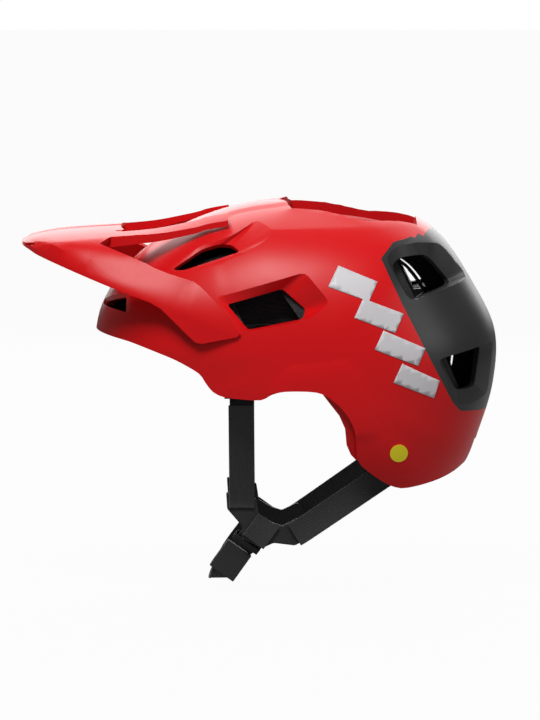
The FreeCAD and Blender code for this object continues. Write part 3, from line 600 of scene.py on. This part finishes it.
def shape_skin(bm):
    """The moulded creases of the shell, and the raised edges beside the top recess."""
    rim = TOP_RECESS[1:-1]
    for vert in bm.verts:
        if vert.co.z > 95 and vert.co.x > 1:
            _, _, gap = nearest_run(rim, seen("z", vert.co), False)
            vert.co.z += 2.8 * math.exp(-gap / 11) * min(1.0, vert.co.x / 42)
    bend_along(bm, SHOULDER, -0.20, -0.06, 16.0, lambda c: c.x > 30)
    bend_along(bm, FLARE, 0.0, 0.20, 14.0, lambda c: c.x > 40)
    bend_along(bm, TEMPLE_LINE, -0.12, 0.06, 14.0, lambda c: c.x > 40)


# ---------------------------------------------------------------- finishing pieces
def finish_mesh(bm, name, slots, smooth=35.0, mirror=False, scale=MM, merge=0.01):
    """Turns a bmesh in millimetres into an object in metres at the origin."""
    if mirror:
        bmesh.ops.mirror(bm, geom=bm.verts[:] + bm.edges[:] + bm.faces[:], axis="X",
                         merge_dist=0.01)
    bmesh.ops.remove_doubles(bm, verts=bm.verts[:], dist=merge)
    bmesh.ops.dissolve_degenerate(bm, edges=bm.edges[:], dist=merge)
    bmesh.ops.recalc_face_normals(bm, faces=bm.faces[:])
    bmesh.ops.scale(bm, vec=(scale, scale, scale), verts=bm.verts[:])
    mesh = bpy.data.meshes.new(name)
    for face in bm.faces:
        face.smooth = True
    bm.to_mesh(mesh)
    bm.free()
    item = bpy.data.objects.new(name, mesh)
    bpy.context.scene.collection.objects.link(item)
    for slot in slots:
        mesh.materials.append(material(slot))
    mesh.set_sharp_from_angle(angle=math.radians(smooth))
    return item


def add_bevel(item, width, segments=2):
    """Rounds the sharp edges of a piece."""
    bevel = item.modifiers.new("EdgeRounding", "BEVEL")
    bevel.width, bevel.segments, bevel.limit_method = width, segments, "ANGLE"
    bevel.angle_limit = math.radians(30.0)
    bevel.harden_normals = True


def add_wall(item, thickness, offset=-1.0):
    """Gives a sheet its thickness inwards."""
    wall = item.modifiers.new("Wall", "SOLIDIFY")
    wall.thickness, wall.offset, wall.use_even_offset = thickness, offset, True
    return wall


def dress(node, *names):
    """Gives a CAD node finished materials."""
    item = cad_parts[node]
    item.data.materials.clear()
    for name in names:
        item.data.materials.append(material(name))


def at_side(c):
    return c.x > 40


def at_scoop(c):
    return c.x > 25


def beside_spine(c):
    return c.x > SPINE - 0.01


def at_front(c):
    return c.y < -60


def at_top(c):
    return c.z > 80


def scored_shell():
    """The half dome with every outline of the shells cut into it."""
    bm = half_dome(SHELL)
    cut_away(bm, (0, 0, -62), (0, 0, -1))
    line = eased(RIM, 6.0, False)
    score(bm, line, "x", closed=False)
    rim = line + [(FAR, -26), (FAR, FAR), (-FAR, FAR), (-FAR, 55)]
    drop(bm, faces_where(bm, lambda c: not inside(rim, seen("x", c))))
    score(bm, SEAM, "x", closed=False)
    score(bm, REAR_EDGE, "x", closed=False)
    score(bm, SHOULDER, "x", at_side, closed=False)
    score(bm, FLARE, "x", at_side, closed=False)
    score(bm, TEMPLE_LINE, "x", at_side, closed=False)
    shape_skin(bm)
    return bm


SKIN = {}


def skin_copy():
    """A copy of the scored shell, which is worked out once."""
    if "shell" not in SKIN:
        SKIN["shell"] = scored_shell()
    return SKIN["shell"].copy()


def in_rear(c):
    return inside(REAR_EDGE + [(FAR, 126), (FAR, -5)], seen("x", c))


def over_seam(c):
    line = SEAM + [(90, 80), (FAR, 100), (FAR, FAR), (-FAR, FAR), (-FAR, 72)]
    return inside(line, seen("x", c))


def add_floor(bm):
    """The floor of the top recess, on the dome at the recess's depth, round the top vent."""
    floor = half_dome(SHELL, 30)
    for vert in floor.verts:
        vert.co = SHELL.spot(vert.co - Vector((0, *SHELL.centre)), 10.0)
    drop(floor, faces_where(floor, lambda c: c.z < 90))
    score(floor, TOP_FLOOR[1:-1], "z", closed=False)
    score(floor, TOP_VENT, "z")
    drop(floor, faces_where(floor, lambda c: not inside(TOP_FLOOR, seen("z", c))
                            or inside(TOP_VENT, seen("z", c))))
    ring = [e for e in floor.edges if e.is_boundary and all(
        nearest_run(TOP_VENT, seen("z", v.co))[2] < 0.4 for v in e.verts)]
    new = bmesh.ops.extrude_edge_only(floor, edges=ring)["geom"]
    bmesh.ops.translate(floor, verts=points_of(new), vec=(0, 0, -3))
    mesh = bpy.data.meshes.new("floor_sheet")
    floor.to_mesh(mesh)
    floor.free()
    bm.from_mesh(mesh)
    bpy.data.meshes.remove(mesh)


def rim_lip(bm, length=6.5):
    """Folds the lower edge of the shell inwards, over the edge of the foam."""
    line = eased(RIM, 6.0, False)[1:-1]
    ring = [e for e in bm.edges if e.is_boundary and all(
        nearest_run(line, seen("x", v.co), False)[2] < 0.4 and v.co.x > -0.01
        for v in e.verts) and abs(e.verts[0].co.x) + abs(e.verts[1].co.x) > 0.05]
    new = bmesh.ops.extrude_edge_only(bm, edges=ring)["geom"]
    for vert in points_of(new):
        away = vert.co - Vector((0, *SHELL.centre))
        level = SHELL.level(*vert.co)
        inner = SHELL.spot(away, length)
        start = SHELL.spot(away) if level > 1 else vert.co
        vert.co += inner - start
        if vert.co.x < 0.02:
            vert.co.x = 0.0


class HELMET_OT_upper_shell(bpy.types.Operator):
    """Builds the upper shell with its side, scoop and top recesses"""
    bl_idname = "helmet.upper_shell"
    bl_label = "Upper shell"

    def execute(self, context):
        bm = skin_copy()
        drop(bm, faces_where(bm, lambda c: in_rear(c) or not over_seam(c)))
        side, scoop, brow = eased(SIDE_RECESS, 4.0), eased(SCOOP_RECESS, 4.0), eased(BROW_RECESS, 3.0)
        score(bm, side, "x", at_side)
        score(bm, scoop, "x", at_scoop)
        score(bm, brow, "y", at_front)
        score(bm, TOP_RECESS[1:-1], "z", at_top, closed=False)
        sink_vent(bm, SHELL, "x", side, eased(SIDE_MOUTH, 2.0), tripled(SIDE_DEPTHS), 4.5, at_side)
        sink_vent(bm, SHELL, "x", scoop, eased(SCOOP_MOUTH, 3.0), tripled(SCOOP_DEPTHS), 3.5,
                  at_scoop, inward=(-0.75, 0.0, -0.66))
        sink_vent(bm, SHELL, "y", brow, eased(BROW_MOUTH, 2.0), [3] * len(brow), 5, at_front)
        sink_vent(bm, SHELL, "z", TOP_RECESS, TOP_FLOOR, [9.5] * len(TOP_RECESS), 0.5, at_top)
        add_floor(bm)
        # the floor and walls of the top recess take the darker recess red, which is painted shade
        for face in faces_where(bm, lambda c: c.z > 90 and inside(TOP_RECESS, seen("z", c))):
            face.material_index = 1
        item = finish_mesh(bm, "shell_upper", ["red", "red_painted_shade"], mirror=True)
        add_wall(item, settings().shell_wall)
        add_bevel(item, settings().bevel_width)
        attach(item, "helmet")
        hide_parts("upper_shell")
        return {"FINISHED"}


class HELMET_OT_lower_shell(bpy.types.Operator):
    """Builds the lower shell around the brow, the ears and the nape"""
    bl_idname = "helmet.lower_shell"
    bl_label = "Lower shell"

    def execute(self, context):
        bm = skin_copy()
        drop(bm, faces_where(bm, lambda c: in_rear(c) or over_seam(c)))
        score(bm, DIAL_NOTCH, "y", lambda c: c.y > 60, closed=False)
        notch = DIAL_NOTCH + [(-30, -90), (-30, -25)]
        drop(bm, faces_where(bm, lambda c: c.y > 60 and inside(notch, seen("y", c))))
        rim_lip(bm)
        item = finish_mesh(bm, "shell_lower", ["red", "red_painted_shade"], mirror=True)
        add_wall(item, settings().shell_wall)
        add_bevel(item, settings().bevel_width)
        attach(item, "helmet")
        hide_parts("lower_shell")
        return {"FINISHED"}


class HELMET_OT_rear_cover(bpy.types.Operator):
    """Builds the black rear cover and its four outlets"""
    bl_idname = "helmet.rear_cover"
    bl_label = "Rear cover"

    def execute(self, context):
        bm = skin_copy()
        drop(bm, faces_where(bm, lambda c: not in_rear(c)))
        high, low = eased(PORT_RECESS_HIGH), eased(PORT_RECESS_LOW, 4.0)
        for recess in (high, low):
            score(bm, recess, "x", lambda c: c.x > 13)
        cut_spine(bm)
        sink_vent(bm, SHELL, "x", high, eased(PORT_MOUTH_HIGH, 4.0), [6] * len(high), 4,
                  beside_spine, inward=(-0.7, -0.7, -0.1))
        sink_vent(bm, SHELL, "x", low, eased(PORT_MOUTH_LOW, 3.0), [4] * len(low), 4,
                  beside_spine, inward=(-0.6, -0.8, 0.1))
        item = finish_mesh(bm, "cover_rear", ["cover"], mirror=True)
        add_wall(item, settings().shell_wall)
        add_bevel(item, settings().bevel_width)
        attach(item, "helmet")
        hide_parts("rear_cover")
        return {"FINISHED"}


def cut_spine(bm):
    """Cuts the edge of the upright rib between the outlets."""
    bmesh.ops.bisect_plane(bm, geom=bm.verts[:] + bm.edges[:] + bm.faces[:], dist=0.02,
                           plane_co=(SPINE, 0, 0), plane_no=(1, 0, 0))


def flatten_plate(bm):
    """Lifts the top of the plate and of its arms towards the height of the middle line."""
    for vert in bm.verts:
        edge = 105.5 + max(0.0, vert.co.y + 176) * -0.38 if vert.co.y > -176 else 106.0
        across = max(0.0, min(1.0, (84 - vert.co.x) / 24))
        along = max(0.0, min(1.0, (-45 - vert.co.y) / 60))
        over = max(0.0, min(1.0, (vert.co.z - edge) / 9))
        if across * along * over > 0:
            middle = PEAK.meet("z", 0.0, max(vert.co.y, -184.0)).z
            vert.co.z += max(0.0, middle - vert.co.z) * across * along * over * 0.5


class HELMET_OT_peak(bpy.types.Operator):
    """Builds the peak with its plate, arms and legs"""
    bl_idname = "helmet.peak"
    bl_label = "Peak"

    def execute(self, context):
        bm = half_dome(PEAK, 60)
        score(bm, PEAK_BAND, "x", lambda c: c.y < 0)
        score(bm, PEAK_PLATE[2:-1], "z", at_top, closed=False)
        score(bm, PEAK_LEG, "z", at_top)
        score(bm, PEAK_FOLD, "x", lambda c: c.y < 0, closed=False)

        def kept(c):
            side = inside(PEAK_BAND, seen("x", c))
            plate = inside(PEAK_PLATE, seen("z", c)) and c.z > (112 if c.y < -176 else 106.5)
            leg = inside(PEAK_LEG, seen("z", c)) and c.z > 90
            return (side or plate or leg) and c.y < 0

        drop(bm, faces_where(bm, lambda c: not kept(c)))
        flatten_plate(bm)
        bend_along(bm, PEAK_FOLD, -0.12, -0.24, 16.0, lambda c: c.y < -60 and c.x > 1)
        legs = [e for e in bm.edges if e.is_boundary and all(
            v.co.z > 100 and -125 < v.co.y < -42.5 and 41 < v.co.x < 58 for v in e.verts)]
        new = bmesh.ops.extrude_edge_only(bm, edges=legs)["geom"]
        for vert in points_of(new):
            vert.co.z -= 4.0 + 0.05 * max(0.0, -60 - vert.co.y)
        item = finish_mesh(bm, "peak_visor", ["red", "red_painted_shade"], mirror=True)
        add_wall(item, settings().peak_wall)
        add_bevel(item, settings().bevel_width)
        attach(item, "peak_body")
        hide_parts("peak")
        return {"FINISHED"}


# ---------------------------------------------------------------- marks and badges
class HELMET_OT_marks(bpy.types.Operator):
    """Builds the plain bars and the round badges on both sides"""
    bl_idname = "helmet.marks"
    bl_label = "Side marks"

    def execute(self, context):
        bm = skin_copy()
        for bar in MARKS:
            score(bm, bar, "x", at_side)
        drop(bm, faces_where(bm, lambda c: not (at_side(c) and any(
            inside(bar, seen("x", c)) for bar in MARKS))))
        bm.normal_update()
        for vert in bm.verts:
            vert.co += vert.normal * 0.32
        item = finish_mesh(bm, "print_bars", ["grey"], mirror=True)
        add_wall(item, 0.00012, 0.0).use_even_offset = False
        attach(item, "helmet")
        for side in ("left", "right"):
            dress(f"badge_{side}", "yellow")
        return {"FINISHED"}


# ---------------------------------------------------------------- webbing and dividers
def smooth_path(points, steps=7):
    """More stations along a path, on a smooth curve through its points."""
    points = [Vector(p) for p in points]
    result = []
    for k in range(len(points) - 1):
        a, b = points[max(k - 1, 0)], points[k]
        c, d = points[k + 1], points[min(k + 2, len(points) - 1)]
        for step in range(steps):
            result.append(curve_spot(a, b, c, d, step / steps))
    return result + [points[-1]]


def webbing(name, path, widths, body, node, mirror=False):
    """Flat webbing with thick woven edges, extruded station by station along a path."""
    half = settings().webbing_width / MM / 2
    wall = settings().webbing_wall / MM / 2
    flip = -1 if mirror else 1
    path = smooth_path([(x * flip, y, z) for x, y, z in path])
    widths = smooth_path([(x * flip, y, z) for x, y, z in widths])
    ring = [(-half, 0.0), (-half + 0.25, wall), (-half + 1.2, wall * 1.05), (-half + 1.9, wall * 0.75),
            (half - 1.9, wall * 0.75), (half - 1.2, wall * 1.05), (half - 0.25, wall), (half, 0.0),
            (half - 0.25, -wall), (half - 1.2, -wall * 1.05), (half - 1.9, -wall * 0.75),
            (-half + 1.9, -wall * 0.75), (-half + 1.2, -wall * 1.05), (-half + 0.25, -wall)]
    bm = bmesh.new()
    layer = bm.loops.layers.uv.new("weave")
    run_layer = bm.verts.layers.float_vector.new("run")
    verts = [bm.verts.new((0, 0, 0)) for _ in ring]
    edges = [bm.edges.new((verts[k - 1], verts[k])) for k in range(len(verts))]
    order = dict(zip(verts, range(len(verts))))
    first, length = None, 0.0
    for k, spot in enumerate(path):
        along = (path[min(k + 1, len(path) - 1)] - path[max(k - 1, 0)]).normalized()
        across = widths[k] - along * widths[k].dot(along)
        across.normalize()
        thick = along.cross(across)
        if k:
            length += (spot - path[k - 1]).length
            old = {v: order[v] for v in order}
            new = bmesh.ops.extrude_edge_only(bm, edges=edges)["geom"]
            fresh = points_of(new)
            edges = [e for e in new if isinstance(e, bmesh.types.BMEdge)
                     and all(v in fresh for v in e.verts)]
            linked = {}
            for vert in fresh:
                mate = next(e.other_vert(vert) for e in vert.link_edges
                            if e.other_vert(vert) in old)
                linked[vert] = old[mate]
            order = linked
        for vert, place in order.items():
            a, b = ring[place]
            vert.co = spot + across * a + thick * b
            vert[run_layer] = (a * MM, length * MM, 0.0)
        if first is None:
            first = edges
    for rim in (first, edges):
        bmesh.ops.contextual_create(bm, geom=rim)
    for face in bm.faces:
        for loop in face.loops:
            loop[layer].uv = loop.vert[run_layer].xy
    item = finish_mesh(bm, name, ["webbing"], smooth=50.0)
    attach(item, body)
    if node:
        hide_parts(node)


def prism_piece(bm, outline, low, high):
    """A flat outline in (y, z) given its thickness along x."""
    verts = [bm.verts.new((low, a, b)) for a, b in outline]
    face = bm.faces.new(verts)
    new = bmesh.ops.extrude_face_region(bm, geom=[face])["geom"]
    bmesh.ops.translate(bm, verts=points_of(new), vec=(high - low, 0, 0))


DIVIDER = [
    (-44.5, -59.4), (-23.7, -63.6), (-21.9, -75.4), (-13, -80.5), (-5.7, -82.9), (5.4, -77.5),
    (16.5, -89.4), (3.4, -96.8), (-11.5, -95), (-19.6, -98.8), (-33.4, -91.9), (-33.4, -83.1),
    (-43.8, -71.2),
]


class HELMET_OT_straps(bpy.types.Operator):
    """Builds the webbing on both sides and the chin strap"""
    bl_idname = "helmet.straps"
    bl_label = "Straps"

    def execute(self, context):
        for side, flip in (("left", False), ("right", True)):
            body = f"{side}_straps"
            webbing(f"webbing_front_{side}", [(82, -34, 3.5), (69, -33.8, -29), (56.8, -33.5, -62),
                                              (55.6, -33.5, -70)],
                    [(0, 1, 0)] * 4, body, f"front_strap_{side}", flip)
            webbing(f"webbing_rear_{side}", [(65.2, 69, -43.8), (64, 60, -50), (60.6, 35, -67.3),
                                             (57.6, 10, -84.5), (56.6, 3, -89)],
                    [(0, -0.565, 0.825)] * 5, body, f"rear_strap_{side}", flip)
            wrap = [(55.4, -14.8, -79), (55.9, -20, -86.3), (55.2, -25.6, -94)]
            webbing(f"webbing_wrap_{side}", wrap, [(0, 0.81, -0.58)] * 3, body, None, flip)
        w = Vector((0, 0.81, -0.58))
        webbing("webbing_lower_left", [(48.9, -24.5, -90), (47.3, -27.2, -93), (41.5, -33.9, -98.5)],
                [w] * 3, "left_straps", "lower_strap_left")
        chin = [(-48.9, -24.5, -90), (-47.5, -28, -95), (-41, -38, -108), (-31, -44, -117),
                (-16, -47.5, -122.5), (0, -48.5, -124.5), (15, -47.5, -122), (26, -45.5, -116),
                (31.4, -43, -110)]
        ends = [w.lerp(Vector((0, 1, 0)), s) for s in (0, 0, 0.3, 0.8, 1, 1, 1, 0.5, 0)]
        webbing("webbing_chin", chin, ends, "right_straps", "chin_strap")
        return {"FINISHED"}


class HELMET_OT_dividers(bpy.types.Operator):
    """Builds the moulded plates that join the front, rear and chin webbing"""
    bl_idname = "helmet.dividers"
    bl_label = "Strap dividers"

    def execute(self, context):
        for side, sign in (("left", 1), ("right", -1)):
            bm = bmesh.new()
            low, high = sorted(sign * face for face in DIVIDER_FACES)
            prism_piece(bm, DIVIDER, low, high)
            item = finish_mesh(bm, f"divider_{side}", ["black"], smooth=30.0)
            add_bevel(item, 0.0012, 3)
            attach(item, f"{side}_straps")
            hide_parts(f"strap_divider_{side}")
        return {"FINISHED"}


# ---------------------------------------------------------------- pads
class HELMET_OT_pads(bpy.types.Operator):
    """Swells the comfort pads with a short cloth simulation"""
    bl_idname = "helmet.pads"
    bl_label = "Comfort pads"

    def execute(self, context):
        rides = {"cradle_pad": "cradle_body"}
        for node in ("brow_pad", "crown_pad_middle", "crown_pad_left", "crown_pad_right",
                     "temple_pad_left", "temple_pad_right", "cradle_pad"):
            item = swollen_pad(node)
            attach(item, rides.get(node, "liner"))
            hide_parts(node)
        return {"FINISHED"}


def rounded_copy(node, body, finish):
    """A copy of a CAD node with its flat faces merged and its edges rounded."""
    bm = bmesh.new()
    bm.from_mesh(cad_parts[node].data)
    bmesh.ops.remove_doubles(bm, verts=bm.verts[:], dist=1e-6)
    bmesh.ops.dissolve_limit(bm, angle_limit=math.radians(1.0), verts=bm.verts[:],
                             edges=bm.edges[:])
    item = finish_mesh(bm, f"round_{node}", [finish], smooth=35.0, scale=1.0, merge=1e-6)
    add_bevel(item, SMALL_EDGE)
    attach(item, body)
    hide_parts(node)


def swollen_pad(node):
    """A soft copy of a pad's plain solid: remeshed, swollen and smoothed."""
    bm = bmesh.new()
    bm.from_mesh(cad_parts[node].data)
    bmesh.ops.remove_doubles(bm, verts=bm.verts[:], dist=1e-5)
    bmesh.ops.recalc_face_normals(bm, faces=bm.faces[:])
    item = finish_mesh(bm, f"soft_{node}", ["pad"], smooth=180.0, scale=1.0, merge=1e-5)
    remesh = item.modifiers.new("Even", "REMESH")
    remesh.mode, remesh.voxel_size = "VOXEL", 0.0028
    apply_modifiers(item)
    shrink = item.modifiers.new("Round", "SMOOTH")
    shrink.factor, shrink.iterations = 0.5, 4
    apply_modifiers(item)
    rest = [v.co.copy() for v in item.data.vertices]
    cloth = item.modifiers.new("Swell", "CLOTH")
    cloth.settings.use_pressure = True
    cloth.settings.uniform_pressure_force = 3.0
    cloth.settings.effector_weights.gravity = 0.0
    for number in range(1, 13):
        bpy.context.scene.frame_set(number)
    apply_modifiers(item)
    bpy.context.scene.frame_set(1)
    for vert, start in zip(item.data.vertices, rest):
        move = vert.co - start
        if move.length > SWELL:
            vert.co = start + move.normalized() * SWELL
    finer = item.modifiers.new("Finer", "SUBSURF")
    finer.levels = finer.render_levels = 1
    for face in item.data.polygons:
        face.use_smooth = True
    return item


def apply_modifiers(item):
    """Makes the modifiers' result the piece's own mesh."""
    bpy.context.view_layer.update()
    graph = bpy.context.evaluated_depsgraph_get()
    mesh = bpy.data.meshes.new_from_object(item.evaluated_get(graph), depsgraph=graph)
    item.modifiers.clear()
    item.data = mesh


# ---------------------------------------------------------------- CAD nodes that stay
class HELMET_OT_inner_parts(bpy.types.Operator):
    """Gives the foam, the liner, the fit system and the buckle their finishes"""
    bl_idname = "helmet.inner_parts"
    bl_label = "Inner parts"

    def execute(self, context):
        finishes = {
            "foam_liner": "foam", "slip_liner": "slip", "fit_band": "black", "height_rail": "black",
            "cradle": "black", "gear_housing": "black", "gear_cover": "black", "dial": "black",
            "pinion": "black", "rack_band_left": "black", "rack_band_right": "black",
            "buckle_receiver": "black", "buckle_tongue": "black", "receiver_magnet": "metal",
            "tongue_magnet": "metal", "strap_keeper": "black", "peak_stud_left": "black",
            "peak_stud_right": "black", "ear_trim_left": "red", "ear_trim_right": "red",
        }
        for end in ("front", "rear"):
            for side in ("left", "right"):
                finishes[f"{end}_strap_anchor_{side}"] = "black"
        rounded = {
            "buckle_receiver": "left_straps", "buckle_tongue": "right_straps",
            "strap_keeper": "keeper", "gear_housing": "cradle_body", "gear_cover": "cradle_body",
            "dial": "dial_body",
        }
        for node, finish in finishes.items():
            if node in rounded:
                rounded_copy(node, rounded[node], finish)
            else:
                dress(node, finish)
        return {"FINISHED"}


# ---------------------------------------------------------------- stage
class HELMET_OT_stage(bpy.types.Operator):
    """Sets the floor, the lights and the camera"""
    bl_idname = "helmet.stage"
    bl_label = "Stage"

    def execute(self, context):
        scene = context.scene
        scene.view_settings.view_transform = "Standard"
        bm = bmesh.new()
        bmesh.ops.create_grid(bm, x_segments=4, y_segments=4, size=8000.0)
        bmesh.ops.translate(bm, verts=bm.verts[:], vec=(0, 0, FLOOR_HEIGHT))
        floor = finish_mesh(bm, "floor", [])
        floor.data.materials.append(pale_floor())

        world = bpy.data.worlds.new("studio")
        scene.world = world
        world.use_nodes = True
        tree = world.node_tree
        background = tree.nodes["Background"]
        background.inputs["Color"].default_value = (1.0, 1.0, 1.0, 1.0)
        rays = tree.nodes.new("ShaderNodeLightPath")
        scale = tree.nodes.new("ShaderNodeMath")
        scale.operation = "MULTIPLY_ADD"
        tree.links.new(rays.outputs["Is Camera Ray"], scale.inputs[0])
        scale.inputs[1].default_value = 0.84
        scale.inputs[2].default_value = 0.16
        tree.links.new(scale.outputs[0], background.inputs["Strength"])

        lamp("back_softbox", (-1.5, 0.1, 1.0), (0, 0.0, 0.08), 2.0, 36.0)
        lamp("side_key", (1.25, -0.4, 1.9), (0, 0.0, 0.02), 0.9, 48.0)
        lamp("rear_fill", (0.9, 1.5, 0.5), (0, 0.05, 0.02), 0.8, 5.0)

        data = bpy.data.cameras.new("camera")
        data.sensor_fit, data.sensor_width = "HORIZONTAL", 36.0
        data.lens = data.sensor_width * CAMERA_REACH / VIEW_WIDTH
        data.clip_end = 50.0
        camera = bpy.data.objects.new("camera", data)
        scene.collection.objects.link(camera)
        tilt = math.radians(5.0)
        aim = Vector((0.0, -0.014, 0.028))
        away = Vector((math.cos(tilt), 0.0, math.sin(tilt)))
        camera.location = aim + away * CAMERA_REACH
        camera.rotation_euler = away.to_track_quat("Z", "Y").to_euler()
        scene.camera = camera
        return {"FINISHED"}


def lamp(name, spot, target, size, power):
    """A square soft light that looks at a point."""
    data = bpy.data.lights.new(name, "AREA")
    data.size, data.energy = size, power
    item = bpy.data.objects.new(name, data)
    bpy.context.scene.collection.objects.link(item)
    item.location = spot
    item.rotation_euler = (Vector(spot) - Vector(target)).to_track_quat("Z", "Y").to_euler()
    item.visible_camera = False


def pale_floor():
    """A white floor that keeps the object's soft shadow."""
    shader = Shader("pale_floor", Roughness=0.9, Specular_IOR_Level=0.1)
    speck = shader.noise(3.0)
    shader.feed("Base Color", shader.mix(speck * 0.3, (0.27, 0.27, 0.27), (0.25, 0.25, 0.25)))
    glow = shader.node("ShaderNodeEmission", {}, {"Color": (1, 1, 1, 1), "Strength": 1.0})
    rays = shader.node("ShaderNodeLightPath")
    share = Num(shader, rays.outputs["Is Camera Ray"]) * 0.96
    blend = shader.node("ShaderNodeMixShader", {}, {
        0: share, 1: shader.surface.outputs[0], 2: glow.outputs[0]})
    output = shader.tree.nodes["Material Output"]
    shader.tree.links.new(blend.outputs[0], output.inputs["Surface"])
    return shader.material


STEPS = (
    HELMET_OT_upper_shell, HELMET_OT_lower_shell, HELMET_OT_rear_cover, HELMET_OT_peak,
    HELMET_OT_marks, HELMET_OT_straps, HELMET_OT_dividers, HELMET_OT_pads,
    HELMET_OT_inner_parts, HELMET_OT_stage,
)


class HELMET_PT_sidebar(bpy.types.Panel):
    """Lists the settings and the steps"""
    bl_idname = "HELMET_PT_sidebar"
    bl_label = "Helmet"
    bl_space_type = "VIEW_3D"
    bl_region_type = "UI"
    bl_category = "Helmet"

    def draw(self, context):
        column = self.layout.column(align=True)
        for name in HelmetSettings.__annotations__:
            column.prop(context.scene.helmet_settings, name)
        for step in STEPS:
            column.operator(step.bl_idname)


CLASSES = (HelmetSettings, *STEPS, HELMET_PT_sidebar)


def register():
    for item in CLASSES:
        bpy.utils.register_class(item)
    bpy.types.Scene.helmet_settings = bpy.props.PointerProperty(type=HelmetSettings)


def unregister():
    del bpy.types.Scene.helmet_settings
    for item in reversed(CLASSES):
        bpy.utils.unregister_class(item)


def main():
    """Registers the add-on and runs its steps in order."""
    register()
    for step in STEPS:
        group, name = step.bl_idname.split(".")
        getattr(getattr(bpy.ops, group), name)()


if __name__ == "__main__":
    main()
